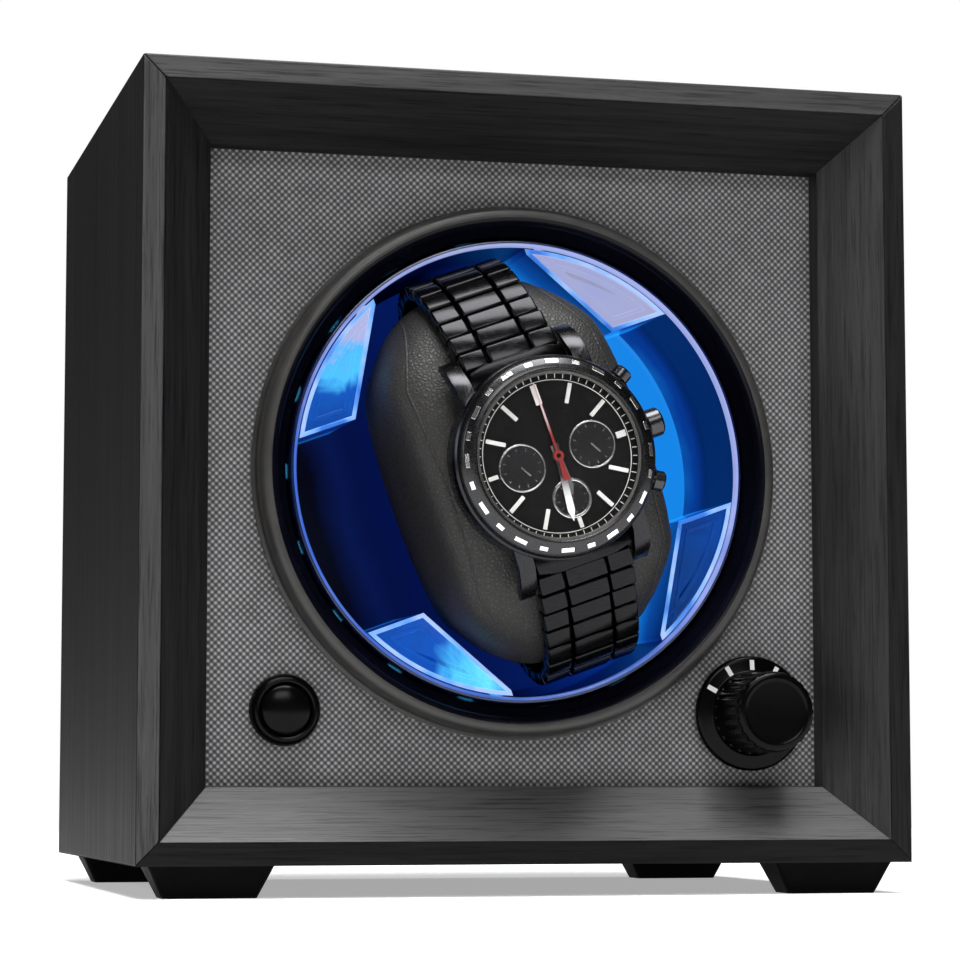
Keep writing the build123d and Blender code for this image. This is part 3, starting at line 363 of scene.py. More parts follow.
def add_prism(bm, outline, low, high, bevel=0.0, segments=2):
    """A closed (x, y) outline between two heights, with its edges softened."""
    bottom = [bm.verts.new((x, y, low)) for x, y in outline]
    top = [bm.verts.new((x, y, high)) for x, y in outline]
    faces = [bm.faces.new(bottom), bm.faces.new(top)]
    for i in range(len(outline)):
        j = (i + 1) % len(outline)
        faces.append(bm.faces.new((bottom[i], bottom[j], top[j], top[i])))
    bmesh.ops.recalc_face_normals(bm, faces=faces)
    if bevel:
        sides = {edge for face in faces for edge in face.edges}
        edges = [edge for edge in sides if edge.calc_face_angle(0) > math.radians(30)]
        bmesh.ops.bevel(bm, geom=edges, offset=bevel, segments=segments, profile=0.5, affect="EDGES")


def add_block(bm, size, matrix, bevel, segments=2):
    """A softened box of a size about a matrix's origin."""
    made = bmesh.ops.create_cube(bm, size=1.0, matrix=matrix @ Matrix.Diagonal((*size, 1)))
    verts = made["verts"]
    edges = list({edge for vert in verts for edge in vert.link_edges})
    bmesh.ops.bevel(bm, geom=edges, offset=bevel, segments=segments, profile=0.5, affect="EDGES")


def softened(node, width, segments=2, angle=30):
    """A copy of a CAD node with its edges softened, which stands for the node."""
    mesh = NODES[node].data.copy()
    piece = add_object(f"{node}_soft", mesh)
    bm = bmesh.new()
    bm.from_mesh(mesh)
    bmesh.ops.remove_doubles(bm, verts=bm.verts, dist=1e-6)
    bmesh.ops.dissolve_limit(bm, angle_limit=math.radians(1), verts=bm.verts, edges=bm.edges)
    bm.to_mesh(mesh)
    bm.free()
    modifier = piece.modifiers.new("soft_edges", "BEVEL")
    modifier.width = width * MM
    modifier.segments = segments
    modifier.limit_method = "ANGLE"
    modifier.angle_limit = math.radians(angle)
    modifier.use_clamp_overlap = True
    apply_modifiers(piece)
    shade(piece)
    for face in piece.data.polygons:
        if face.area > FLAT_AREA:
            face.use_smooth = False
    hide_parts(node)
    return piece


def apply_modifiers(piece):
    depsgraph = bpy.context.evaluated_depsgraph_get()
    mesh = bpy.data.meshes.new_from_object(piece.evaluated_get(depsgraph))
    piece.modifiers.clear()
    piece.data = mesh


def dress(piece, materials, body):
    """Gives a piece its materials and the body it rides on."""
    if len(piece.data.materials):
        piece.data.materials.clear()
    for material in materials if isinstance(materials, (list, tuple)) else [materials]:
        piece.data.materials.append(material)
    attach(piece, body)
    return piece


def repaint(material, *nodes):
    """Gives CAD nodes that stay a better material."""
    for node in nodes:
        data = NODES[node].data
        if not data.materials:
            data.materials.append(material)
        for i in range(len(data.materials)):
            data.materials[i] = material


# ---------------------------------------------------------------- material helpers


def shader(name, colour, roughness, metallic=0.0, specular=0.5, coat=0.0, alpha=1.0):
    material = bpy.data.materials.new(name)
    material.use_nodes = True
    bsdf = material.node_tree.nodes["Principled BSDF"]
    bsdf.inputs["Base Color"].default_value = (*colour, 1)
    bsdf.inputs["Roughness"].default_value = roughness
    bsdf.inputs["Metallic"].default_value = metallic
    bsdf.inputs["Specular IOR Level"].default_value = specular
    bsdf.inputs["Coat Weight"].default_value = coat
    bsdf.inputs["Coat Roughness"].default_value = 0.08
    bsdf.inputs["Alpha"].default_value = alpha
    return material


def tree_of(material):
    tree = material.node_tree
    return tree, tree.nodes["Principled BSDF"]


def coordinates(tree, stretch=(1, 1, 1)):
    """Object-space coordinates, in metres, scaled along each axis."""
    source = tree.nodes.new("ShaderNodeTexCoord")
    mapping = tree.nodes.new("ShaderNodeMapping")
    mapping.inputs["Scale"].default_value = stretch
    tree.links.new(source.outputs["Object"], mapping.inputs["Vector"])
    return mapping.outputs["Vector"]


def noise_value(tree, scale, detail=4, stretch=(1, 1, 1), roughness=0.6, distortion=0.0):
    node = tree.nodes.new("ShaderNodeTexNoise")
    node.inputs["Scale"].default_value = scale
    node.inputs["Detail"].default_value = detail
    node.inputs["Roughness"].default_value = roughness
    node.inputs["Distortion"].default_value = distortion
    tree.links.new(coordinates(tree, stretch), node.inputs["Vector"])
    return node.outputs["Fac"]


def ramp(tree, value, stops):
    node = tree.nodes.new("ShaderNodeValToRGB")
    elements = node.color_ramp.elements
    while len(elements) < len(stops):
        elements.new(0.5)
    for element, (place, colour) in zip(elements, stops):
        element.position = place
        element.color = (*colour, 1)
    tree.links.new(value, node.inputs["Fac"])
    return node.outputs["Color"]


def grey(value):
    return (value, value, value)


def mapped(tree, value, low, high, to_low=0.0, to_high=1.0):
    node = tree.nodes.new("ShaderNodeMapRange")
    node.inputs["From Min"].default_value = low
    node.inputs["From Max"].default_value = high
    node.inputs["To Min"].default_value = to_low
    node.inputs["To Max"].default_value = to_high
    tree.links.new(value, node.inputs["Value"])
    return node.outputs["Result"]


def math_node(tree, operation, a, b=None):
    node = tree.nodes.new("ShaderNodeMath")
    node.operation = operation
    for socket, value in zip(node.inputs, (a, b)):
        if value is None:
            continue
        if isinstance(value, (int, float)):
            socket.default_value = value
        else:
            tree.links.new(value, socket)
    return node.outputs["Value"]


def mixed(tree, factor, a, b, blend="MIX"):
    node = tree.nodes.new("ShaderNodeMix")
    node.data_type = "RGBA"
    node.blend_type = blend
    for socket, value in ((node.inputs[0], factor), (node.inputs[6], a), (node.inputs[7], b)):
        if isinstance(value, tuple):
            socket.default_value = (*value, 1)
        elif isinstance(value, float):
            socket.default_value = value
        else:
            tree.links.new(value, socket)
    return node.outputs[2]


def bump(material, height, strength, distance):
    tree, bsdf = tree_of(material)
    node = tree.nodes.new("ShaderNodeBump")
    node.inputs["Strength"].default_value = strength
    node.inputs["Distance"].default_value = distance
    tree.links.new(height, node.inputs["Height"])
    tree.links.new(node.outputs["Normal"], bsdf.inputs["Normal"])


def object_place(tree):
    """Object-space X, Y and Z, in metres."""
    source = tree.nodes.new("ShaderNodeTexCoord")
    split = tree.nodes.new("ShaderNodeSeparateXYZ")
    tree.links.new(source.outputs["Object"], split.inputs["Vector"])
    return split.outputs


def along_drum(tree, direction):
    """Distance in mm from the drum's axis along a direction in the drum frame, given in degrees."""
    angle = DRUM_TURN + math.radians(direction)
    place = object_place(tree)
    from_axis_x = math_node(tree, "SUBTRACT", place["X"], AXIS_X)
    from_axis_z = math_node(tree, "SUBTRACT", place["Z"], AXIS_Z)
    across = math_node(tree, "MULTIPLY", from_axis_x, math.cos(angle) / MM)
    up = math_node(tree, "MULTIPLY", from_axis_z, math.sin(angle) / MM)
    return math_node(tree, "ADD", across, up)


def depth_value(tree):
    """Depth in mm behind the cabinet's front plane."""
    place = object_place(tree)
    return math_node(tree, "DIVIDE", math_node(tree, "SUBTRACT", place["Y"], FRONT_Y), MM)


# ---------------------------------------------------------------- materials


def wood(name, grain_axis, dark, light, roughness, specular):
    """Ebonized open-grain wood: streaks and fine pores along one axis, and a slow change of tone."""
    material = shader(name, dark, roughness, specular=specular)
    tree, bsdf = tree_of(material)
    along = [GRAIN_STRETCH if axis == grain_axis else 1 for axis in "XYZ"]
    streaks = noise_value(tree, 620, 5, along, 0.65, 0.25)
    pores = noise_value(tree, 2400, 3, along, 0.7)
    slow = noise_value(tree, 70, 3, along, 0.5)
    fine_share = math_node(tree, "MULTIPLY", streaks, 0.65)
    slow_share = math_node(tree, "MULTIPLY", slow, 0.35)
    tone = math_node(tree, "ADD", fine_share, slow_share)
    between = tuple((a + b) / 2 for a, b in zip(dark, light))
    colour = ramp(tree, tone, [(0.34, dark), (0.5, between), (0.66, light)])
    pore_mask = ramp(tree, pores, [(0.36, grey(0.25)), (0.5, grey(1.0))])
    tree.links.new(mixed(tree, 0.8, colour, pore_mask, "MULTIPLY"), bsdf.inputs["Base Color"])
    rough = mapped(tree, tone, 0.3, 0.7, roughness + 0.09, roughness - 0.07)
    tree.links.new(rough, bsdf.inputs["Roughness"])
    height = math_node(tree, "ADD", streaks, math_node(tree, "MULTIPLY", pores, 0.7))
    bump(material, height, 0.35, 0.00012)
    return material


def weave():
    """Two-tone speaker cloth: fine threads, light and dark by turns in both directions, with slow bands."""
    material = shader("cloth_weave", grey(0.2), 0.86, specular=0.2)
    tree, bsdf = tree_of(material)
    place = object_place(tree)
    turns = math.pi / (THREAD_PITCH * MM)
    wave_x = math_node(tree, "SINE", math_node(tree, "MULTIPLY", place["X"], turns))
    wave_z = math_node(tree, "SINE", math_node(tree, "MULTIPLY", place["Z"], turns))
    check = math_node(tree, "MULTIPLY", wave_x, wave_z)
    wander = noise_value(tree, 260, 3)
    check = math_node(tree, "ADD", check, mapped(tree, wander, 0.25, 0.75, -0.16, 0.16))
    tone = mapped(tree, check, -0.75, 0.75)
    stops = [
        (0.0, grey(0.044)), (0.4, (0.088, 0.085, 0.090)), (0.62, (0.122, 0.119, 0.124)), (1.0, grey(0.29)),
    ]
    colour = ramp(tree, tone, stops)
    fuzz = ramp(tree, noise_value(tree, 5200, 2), [(0.3, grey(0.82)), (0.7, grey(1.0))])
    tree.links.new(mixed(tree, 1.0, colour, fuzz, "MULTIPLY"), bsdf.inputs["Base Color"])
    bump(material, tone, 0.5, 0.0002)
    return material


def hand_paint(name, stops, direction, reach):
    """Lacquer whose colour changes along a hand: its direction is in degrees and its reach in mm."""
    material = shader(name, stops[-1][1], 0.4)
    tree, bsdf = tree_of(material)
    along = mapped(tree, along_drum(tree, direction), 0, reach)
    tree.links.new(ramp(tree, along, stops), bsdf.inputs["Base Color"])
    bump(material, noise_value(tree, 2600, 2), 0.1, 0.00003)
    return material


def leather():
    """Black leather: fine cells between creases darkened as painted shade, with a slow change of tone."""
    material = shader("cushion_leather", (0.045, 0.042, 0.04), 0.48, specular=0.35)
    tree, bsdf = tree_of(material)
    cells = tree.nodes.new("ShaderNodeTexVoronoi")
    cells.feature = "DISTANCE_TO_EDGE"
    cells.inputs["Scale"].default_value = 1150
    tree.links.new(coordinates(tree), cells.inputs["Vector"])
    grain = mapped(tree, cells.outputs["Distance"], 0.0, 0.32)
    tone = noise_value(tree, 55, 4)
    colour = ramp(tree, tone, [(0.3, (0.014, 0.013, 0.0125)), (0.7, (0.025, 0.023, 0.0215))])
    # The creases between the cells are darkened as painted shade.
    shaded = mixed(tree, grain, (0.009, 0.0085, 0.008), colour)
    tree.links.new(shaded, bsdf.inputs["Base Color"])
    tree.links.new(mapped(tree, grain, 0, 1, 0.62, 0.42), bsdf.inputs["Roughness"])
    height = math_node(tree, "ADD", grain, math_node(tree, "MULTIPLY", tone, 0.8))
    bump(material, height, 0.4, 0.00016)
    return material


def faded(colour, share):
    """A colour made darker or lighter, within what a colour can hold."""
    return tuple(min(1, channel * share) for channel in colour)


def plastic(name, colour, roughness, specular=0.5, texture=0.25):
    """Moulded plastic with a fine texture and slight wear in its gloss."""
    material = shader(name, colour, roughness, specular=specular)
    tree, bsdf = tree_of(material)
    slow = noise_value(tree, 160, 4)
    tone = ramp(tree, slow, [(0.3, faded(colour, 0.82)), (0.7, faded(colour, 1.15))])
    tree.links.new(tone, bsdf.inputs["Base Color"])
    tree.links.new(mapped(tree, slow, 0.3, 0.7, roughness * 0.85, roughness * 1.15), bsdf.inputs["Roughness"])
    bump(material, noise_value(tree, 3400, 2), texture, 0.00005)
    return material


def metal(name, colour, roughness, stretch=(1, 1, 0.06), brushed=0.25):
    """Brushed or turned metal with fine directional scratches."""
    material = shader(name, colour, roughness, metallic=1.0)
    tree, bsdf = tree_of(material)
    brush = noise_value(tree, 4200, 3, stretch)
    tone = ramp(tree, brush, [(0.3, faded(colour, 0.8)), (0.7, faded(colour, 1.15))])
    tree.links.new(tone, bsdf.inputs["Base Color"])
    tree.links.new(mapped(tree, brush, 0.3, 0.7, roughness * 0.75, roughness * 1.3), bsdf.inputs["Roughness"])
    bump(material, brush, brushed, 0.00003)
    return material


def glowing(name, base, stops, value_of, strength, roughness=0.12, specular=0.4, coat=0.2):
    """Polished dark plastic with painted blue light: an emission whose colour follows a value over its
    surface.
    """
    material = shader(name, base, roughness, specular=specular, coat=coat)
    tree, bsdf = tree_of(material)
    colour = ramp(tree, value_of(tree), stops)
    tree.links.new(colour, bsdf.inputs["Emission Color"])
    bsdf.inputs["Emission Strength"].default_value = strength
    bump(material, noise_value(tree, 240, 2), 0.12, 0.0002)
    return material


# Colours of the painted blue light in the drum; the light chips use CYAN as real lamps.
AZURE = (0.006, 0.235, 0.80)
CYAN = (0.08, 0.56, 1.0)
NAVY = (0.001, 0.012, 0.13)
DEEP = (0.0, 0.002, 0.03)


def wall_glow(tree):
    """Painted blue light: bright deep in the drum on its right side, dark near the rim and on its left side.
    """
    deep = mapped(tree, depth_value(tree), 33, 43, 0.12, 0.5)
    side = mapped(tree, along_drum(tree, -8), -6, 26)
    wander = mapped(tree, noise_value(tree, 60, 3), 0.3, 0.7, 0.88, 1.1)
    return math_node(tree, "MULTIPLY", math_node(tree, "MULTIPLY", deep, side), wander)


def rim_glow(tree):
    """Painted light: lavender round the top and right of the rim, bluer towards the lower left."""
    across = mapped(tree, along_drum(tree, 40), -48, 48)
    return math_node(tree, "ADD", across, mapped(tree, noise_value(tree, 70, 2), 0.3, 0.7, -0.16, 0.3))


def side_glow(tree):
    """A corner block's walls with painted light: a painted highlight line at the front, blue light behind it,
    darker on the drum's left side.
    """
    deep = mapped(tree, depth_value(tree), 14, 40)
    side = mapped(tree, along_drum(tree, 0), -30, 30, -0.25, 0.2)
    return math_node(tree, "ADD", deep, side)


def floor_glow(tree):
    """Painted blue light: black on the drum's left side and azure on its right."""
    across = mapped(tree, along_drum(tree, 0), -46, 46)
    wander = mapped(tree, noise_value(tree, 50, 3), 0.3, 0.7, -0.02, 0.02)
    return math_node(tree, "ADD", across, wander)


def block_glow(direction, low, high):
    """A painted sheen that crosses a corner block along a direction in the drum frame."""

    def value(tree):
        across = mapped(tree, along_drum(tree, direction), low, high)
        wander = mapped(tree, noise_value(tree, 110, 3, distortion=0.6), 0.25, 0.75, -0.2, 0.2)
        return math_node(tree, "ADD", across, wander)

    return value


# Woods: name, grain axis, dark and light colour, roughness, specular. Plastics: name, colour, roughness,
# specular,
# texture. Metals: name, colour, roughness, stretch of the scratches, depth of the scratches.
# The four panels are copies of one ebonized wood with painted light and shade: the left and bottom ones darker
# as painted shade, the right and top ones lighter as painted light.
WOOD_LEFT_PAINTED_SHADE = wood("wood_left_painted_shade", "Z", (0.003, 0.003, 0.0033), (0.013, 0.0125, 0.013), 0.50, 0.07)
WOOD_RIGHT_PAINTED_LIGHT = wood("wood_right_painted_light", "Z", (0.0045, 0.0045, 0.0048), (0.021, 0.0205, 0.021), 0.44, 0.20)
WOOD_TOP_PAINTED_LIGHT = wood("wood_top_painted_light", "X", (0.0045, 0.0045, 0.0048), (0.019, 0.0185, 0.019), 0.40, 0.26)
WOOD_BOTTOM_PAINTED_SHADE = wood("wood_bottom_painted_shade", "X", (0.0035, 0.0032, 0.0035), (0.009, 0.008, 0.009), 0.50, 0.10)
# The four mouldings are copies of the same wood with painted light and shade: the left and top ones darker as
# painted shade, the right one lighter as painted light, and the bottom one light grey as a painted reflection
# of the overhead light.
MOULDING_LEFT_PAINTED_SHADE = wood("moulding_left_painted_shade", "Z", (0.004, 0.004, 0.0045), (0.014, 0.0135, 0.014), 0.45, 0.10)
MOULDING_RIGHT_PAINTED_LIGHT = wood("moulding_right_painted_light", "Z", (0.008, 0.008, 0.0085), (0.027, 0.026, 0.027), 0.42, 0.20)
MOULDING_TOP_PAINTED_SHADE = wood("moulding_top_painted_shade", "X", (0.0035, 0.0035, 0.004), (0.011, 0.0105, 0.011), 0.48, 0.07)
MOULDING_BOTTOM_PAINTED_REFLECTION = wood("moulding_bottom_painted_reflection", "X", (0.042, 0.041, 0.042), (0.062, 0.060, 0.062), 0.40, 0.28)
# The panels' front lips: the left and top ones painted lighter as painted light, the right and bottom ones
# darker as painted shade.
LIPS_LIGHT_AND_SHADE = {
    "left": wood("lip_left_painted_light", "Z", (0.020, 0.020, 0.0205), (0.050, 0.049, 0.050), 0.45, 0.2),
    "right": wood("lip_right_painted_shade", "Z", (0.004, 0.004, 0.0045), (0.011, 0.0105, 0.011), 0.5, 0.08),
    "top": wood("lip_top_painted_light", "X", (0.025, 0.025, 0.0255), (0.060, 0.059, 0.060), 0.45, 0.2),
    "bottom": wood("lip_bottom_painted_shade", "X", (0.003, 0.003, 0.003), (0.008, 0.008, 0.008), 0.5, 0.08),
}
CLOTH = weave()
LEATHER = leather()
FIBREBOARD = plastic("fibreboard", (0.30, 0.21, 0.12), 0.85, 0.2, 0.6)
BLACK_PLASTIC = plastic("black_plastic", (0.012, 0.012, 0.0125), 0.5, 0.4, 0.5)
FOOT_BLACK = plastic("foot_black", (0.001, 0.001, 0.001), 0.6, 0.04, 0.4)
BEZEL_SATIN = plastic("bezel_satin", (0.024, 0.023, 0.022), 0.40, 0.4, 0.3)
# The bezel's inside slope and bore: glossy, and painted near-black as painted shade.
BEZEL_SHADED_GLOSS = plastic("bezel_gloss_painted_shade", (0.0015, 0.0015, 0.004), 0.25, 0.12, 0.1)
GLOSS_BLACK = plastic("gloss_black", (0.001, 0.001, 0.0011), 0.22, 0.08, 0.08)
TICK_WHITE = plastic("tick_white", (0.62, 0.62, 0.60), 0.5)
STEEL = metal("steel", (0.55, 0.55, 0.56), 0.28)
SCREW_BLACK = metal("screw_black", (0.06, 0.06, 0.062), 0.42, (1, 1, 1))
BRONZE = metal("bush_bronze", (0.5, 0.34, 0.17), 0.4)
ACETAL = plastic("acetal", (0.68, 0.67, 0.62), 0.42)
MOTOR_STEEL = metal("motor_steel", (0.42, 0.42, 0.43), 0.33)
BOARD_GREEN = plastic("board_green", (0.012, 0.12, 0.055), 0.3, 0.5, 0.1)
COMPONENT = plastic("component", (0.02, 0.02, 0.02), 0.45)
WIRE = plastic("wire", (0.014, 0.014, 0.014), 0.5)
BLACK_STEEL = metal("black_steel", (0.055, 0.055, 0.058), 0.24, (1, 0.06, 1))
LINK_STEEL = metal("link_steel", (0.016, 0.016, 0.017), 0.22, (0.08, 1, 1), 0.06)
CASE_STEEL = metal("case_steel", (0.030, 0.030, 0.032), 0.24, brushed=0.08)
BEZEL_STEEL = metal("watch_bezel_steel", (0.045, 0.045, 0.047), 0.28, (1, 1, 1), 0.06)
REHAUT_STEEL = metal("rehaut_steel", (0.16, 0.15, 0.14), 0.35, (1, 1, 1), 0.1)
MARK_SILVER = metal("mark_silver", (0.80, 0.79, 0.77), 0.22, (1, 1, 1))
MARK_WHITE = plastic("mark_white", (0.75, 0.74, 0.72), 0.45)
DIAL_BLACK = plastic("dial_black", (0.0035, 0.0035, 0.0038), 0.5, 0.12, 0.5)
DIAL_GREY = plastic("dial_grey", (0.010, 0.010, 0.011), 0.45, 0.2, 0.5)
SECONDS_STOPS = [(0.30, (0.22, 0.012, 0.010)), (0.55, (0.62, 0.42, 0.42))]
SECONDS_HAND = hand_paint("seconds_paint", SECONDS_STOPS, 90, 15.6)
MINUTE_HAND = hand_paint("minute_paint", [(0.10, grey(0.02)), (0.24, grey(0.9))], -90, 40)
HOUR_HAND = plastic("hour_paint", grey(0.10), 0.4, 0.4)
GLASS = shader("watch_glass", (0.02, 0.02, 0.022), 0.03, specular=0.5, alpha=0.035)
# The cup's wall: painted blue light, as emission.
CUP_WALL_PAINTED_LIGHT = glowing(
    "drum_wall_painted_light", (0.0005, 0.003, 0.02),
    [(0.0, (0, 0, 0.002)), (0.2, NAVY), (0.42, (0.002, 0.04, 0.28)), (0.75, AZURE)],
    wall_glow, 1.0, 0.3, 0.06, 0.0,
)
# The cup's floor: painted blue light, as emission.
CUP_FLOOR_PAINTED_LIGHT = glowing(
    "drum_floor_painted_light", (0.0, 0.002, 0.012),
    [
        (0.09, (0, 0, 0.002)), (0.16, (0.001, 0.006, 0.065)), (0.2, (0.001, 0.004, 0.05)),
        (0.6, NAVY), (0.78, AZURE),
    ],
    floor_glow, 1.0, 0.3, 0.12, 0.0,
)
CUP_OUTSIDE = plastic("drum_outside", (0.004, 0.01, 0.05), 0.2)
# The cup's rim: painted lavender and blue light, as emission.
RIM_GLOW = glowing(
    "drum_rim_painted_light", (0.02, 0.05, 0.2),
    [(0.0, (0.02, 0.08, 0.42)), (0.35, (0.09, 0.15, 0.44)), (0.8, (0.34, 0.38, 0.64))],
    rim_glow, 0.95,
)
# The front edges of the corner blocks: a painted highlight, as emission.
BLOCK_EDGE_HIGHLIGHT = glowing(
    "block_edge_painted_highlight", (0.02, 0.06, 0.2),
    [(0.1, (0.03, 0.16, 0.60)), (0.4, (0.18, 0.42, 0.90)), (0.7, (0.42, 0.58, 0.95))],
    lambda tree: mapped(tree, noise_value(tree, 90, 2), 0.3, 0.7), 0.95,
)
# The walls of the corner blocks: painted blue light, as emission.
BLOCK_SIDE_PAINTED_LIGHT = glowing(
    "block_side_painted_light", (0.002, 0.01, 0.06),
    [(0.0, (0.004, 0.03, 0.2)), (0.12, (0.001, 0.012, 0.11)), (0.5, (0.003, 0.05, 0.3)), (0.95, AZURE)],
    side_glow, 0.8,
)
LIGHT_CHIP = glowing(
    "light_chip", (0.05, 0.25, 0.9), [(0, CYAN), (1, CYAN)], lambda tree: noise_value(tree, 10), 3.0
)
# Each block's painted sheen: its colours, the direction in degrees that they follow, the span in mm, and the
# strength.
BLOCK_PAINTED_SHEENS = {
    "upper_right": (
        [(0.0, (0.33, 0.34, 0.52)), (0.6, (0.40, 0.40, 0.57)), (1.0, (0.36, 0.38, 0.60))],
        100, -50, 50, 0.95,
    ),
    "upper_left": (
        [
            (0.1, (0.003, 0.05, 0.3)), (0.3, (0.004, 0.07, 0.40)), (0.45, CYAN),
            (0.62, (0.10, 0.5, 0.95)), (0.78, (0.45, 0.47, 0.70)),
        ],
        80, 14, 40, 0.95,
    ),
    "lower_left": (
        [
            (0.1, (0.004, 0.05, 0.3)), (0.42, (0.003, 0.06, 0.40)), (0.6, CYAN),
            (0.82, (0.16, 0.78, 1.0)), (1.0, AZURE),
        ],
        -40, -19, 14, 1.0,
    ),
    "lower_right": ([(0.1, DEEP), (0.5, (0.001, 0.014, 0.12)), (1.0, (0.002, 0.035, 0.26))], 0, 10, 50, 0.95),
}


# ---------------------------------------------------------------- cabinet


def build_cabinet():
    """Panels whose front lips carry painted light and shade, the bevelled frame, the back and the feet."""
    panels = {"left": WOOD_LEFT_PAINTED_SHADE, "right": WOOD_RIGHT_PAINTED_LIGHT, "top": WOOD_TOP_PAINTED_LIGHT, "bottom": WOOD_BOTTOM_PAINTED_SHADE}
    mouldings = {
        "left": MOULDING_LEFT_PAINTED_SHADE,
        "right": MOULDING_RIGHT_PAINTED_LIGHT,
        "top": MOULDING_TOP_PAINTED_SHADE,
        "bottom": MOULDING_BOTTOM_PAINTED_REFLECTION,
    }
    for side, material in panels.items():
        panel = softened(f"{side}_panel", PANEL_EDGE)
        dress(panel, [material, LIPS_LIGHT_AND_SHADE[side]], "cabinet")
        for face in panel.data.polygons:
            face.material_index = 1 if face.normal.y < LIP_NORMAL_Y else 0
    for side, material in mouldings.items():
        dress(softened(f"{side}_moulding", MOULDING_EDGE), material, "cabinet")
    dress(softened("back_panel", BACK_EDGE), BLACK_PLASTIC, "cabinet")
    dress(softened("feet", FOOT_EDGE), FOOT_BLACK, "cabinet")
    repaint(FIBREBOARD, "baffle_board", "back_battens")
    repaint(SCREW_BLACK, "baffle_screws", "back_screws", "foot_screws", "housing_screws")


def build_cloth():
    """The cloth as one sheet glued on its board: fine threads stand up and down by turns."""
    step = THREAD_PITCH / 2
    half = (CLOTH_HIGH.x - CLOTH_LOW.x) / 2 / MM - CLOTH_INSET
    count = int(2 * half / step)
    heights = (THREAD_RELIEF, 0.0, -THREAD_RELIEF, 0.0)
    bm = bmesh.new()
    grid = {}
    for i in range(count + 1):
        for j in range(count + 1):
            x = -half + i * step
            y = -half + j * step
            if math.hypot(x, y) < CLOTH_HOLE_R - step:
                continue
            high = heights[(i + j) % len(heights)]
            grid[i, j] = bm.verts.new((x, y, high - CLOTH_DEPTH - CLOTH_SINK))
    for (i, j), corner in grid.items():
        others = [grid.get((i + 1, j)), grid.get((i + 1, j + 1)), grid.get((i, j + 1))]
        if None in others:
            continue
        middle = (corner.co + others[1].co) / 2
        in_knob = math.hypot(middle.x - KNOB_X, middle.y - KNOB_Y) < KNOB_HOLE_R
        in_button = math.hypot(middle.x - BUTTON_X, middle.y - BUTTON_Y) < BUTTON_HOLE_R
        if not in_knob and not in_button:
            bm.faces.new((corner, *others))
    loose = [v for v in bm.verts if not v.link_faces]
    bmesh.ops.delete(bm, geom=loose, context="VERTS")
    cloth = from_bmesh("cloth_sheet", bm, TO_FACE, 180)
    dress(cloth, CLOTH, "cabinet")
    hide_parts("grille_cloth")


# ---------------------------------------------------------------- bezel and drum


def build_bezel():
    """A rounded satin ring whose inside slope and bore are glossy and painted near-black as painted shade."""
    arc = []
    first, last = CREST_ARC
    for i in range(CREST_STEPS + 1):
        angle = math.radians(first + (last - first) * i / CREST_STEPS)
        arc.append((CREST_R + CREST_HALF_W * math.cos(angle), CREST_Z + CREST_HALF_H * math.sin(angle)))
    profile = BEZEL_BORE + arc + BEZEL_FOOT
    shaded_gloss_to = len(BEZEL_BORE) + SHADED_GLOSS_STEPS
    bezel = lathe(
        "bezel_round", profile, segments=256, sharp_angle=50,
        material_of=lambda index: 1 if index < shaded_gloss_to or index >= len(profile) - 2 else 0,
    )
    dress(bezel, [BEZEL_SATIN, BEZEL_SHADED_GLOSS], "cabinet")
    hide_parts("bezel_ring")


def build_cup():
    """The drum's cup: a rounded rim, a wall and a coved floor, all three with painted light, and the plain
    outside.
    """
    cove_z = CUP_FLOOR_Z + CUP_COVE
    cove = [(CUP_R - CUP_COVE + CUP_COVE * math.cos(a), cove_z - CUP_COVE * math.sin(a)) for a in COVE_TURNS]
    wall = [(CUP_R, z) for z in CUP_STEP_Z]
    profile = CUP_RIM + CUP_OUTER + [(0, CUP_FLOOR_Z)] + list(reversed(cove)) + wall
    floor_start = len(CUP_RIM) + len(CUP_OUTER)

    def part(index):
        """The slot of each band of faces: 0 the wall, 1 the floor, 2 the glowing rim and 3 the outside."""
        if index < GLOWING_RIM_FACES:
            return 2
        if index < floor_start:
            return 3
        return 1 if index <= floor_start + 1 else 0

    cup = lathe("drum_bowl", profile, matrix=TO_DRUM, segments=256, material_of=part)
    dress(cup, [CUP_WALL_PAINTED_LIGHT, CUP_FLOOR_PAINTED_LIGHT, RIM_GLOW, CUP_OUTSIDE], "drum")
    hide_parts("drum_cup")


def arc_points(radius, start, end, steps):
    angles = [start + (end - start) * i / steps for i in range(steps + 1)]
    return [(radius * math.cos(a), radius * math.sin(a)) for a in angles]


def block_outline(shrink):
    """A corner block's outline in the drum frame, shrunk on all sides by a distance."""
    radius = BLOCK_R - shrink
    low_y = BLOCK_LOW_Y + shrink
    low_x = BLOCK_LOW_X + shrink
    near, far = (Vector(point) for point in BLOCK_SLANT)
    slant = (far - near).normalized()
    inward = Vector((slant.y, -slant.x)) * shrink
    near += inward + slant * ((low_y - near.y - inward.y) / slant.y)
    corner = far + inward + slant * ((low_x - far.x - inward.x) / slant.x)
    outline = arc_points(radius, math.asin(low_y / radius), math.acos(low_x / radius), BLOCK_ARC_STEPS)
    return outline + [tuple(corner), tuple(near)]


def flipped(outline, flip_x, flip_y):
    return [(x * flip_x, y * flip_y) for x, y in outline]


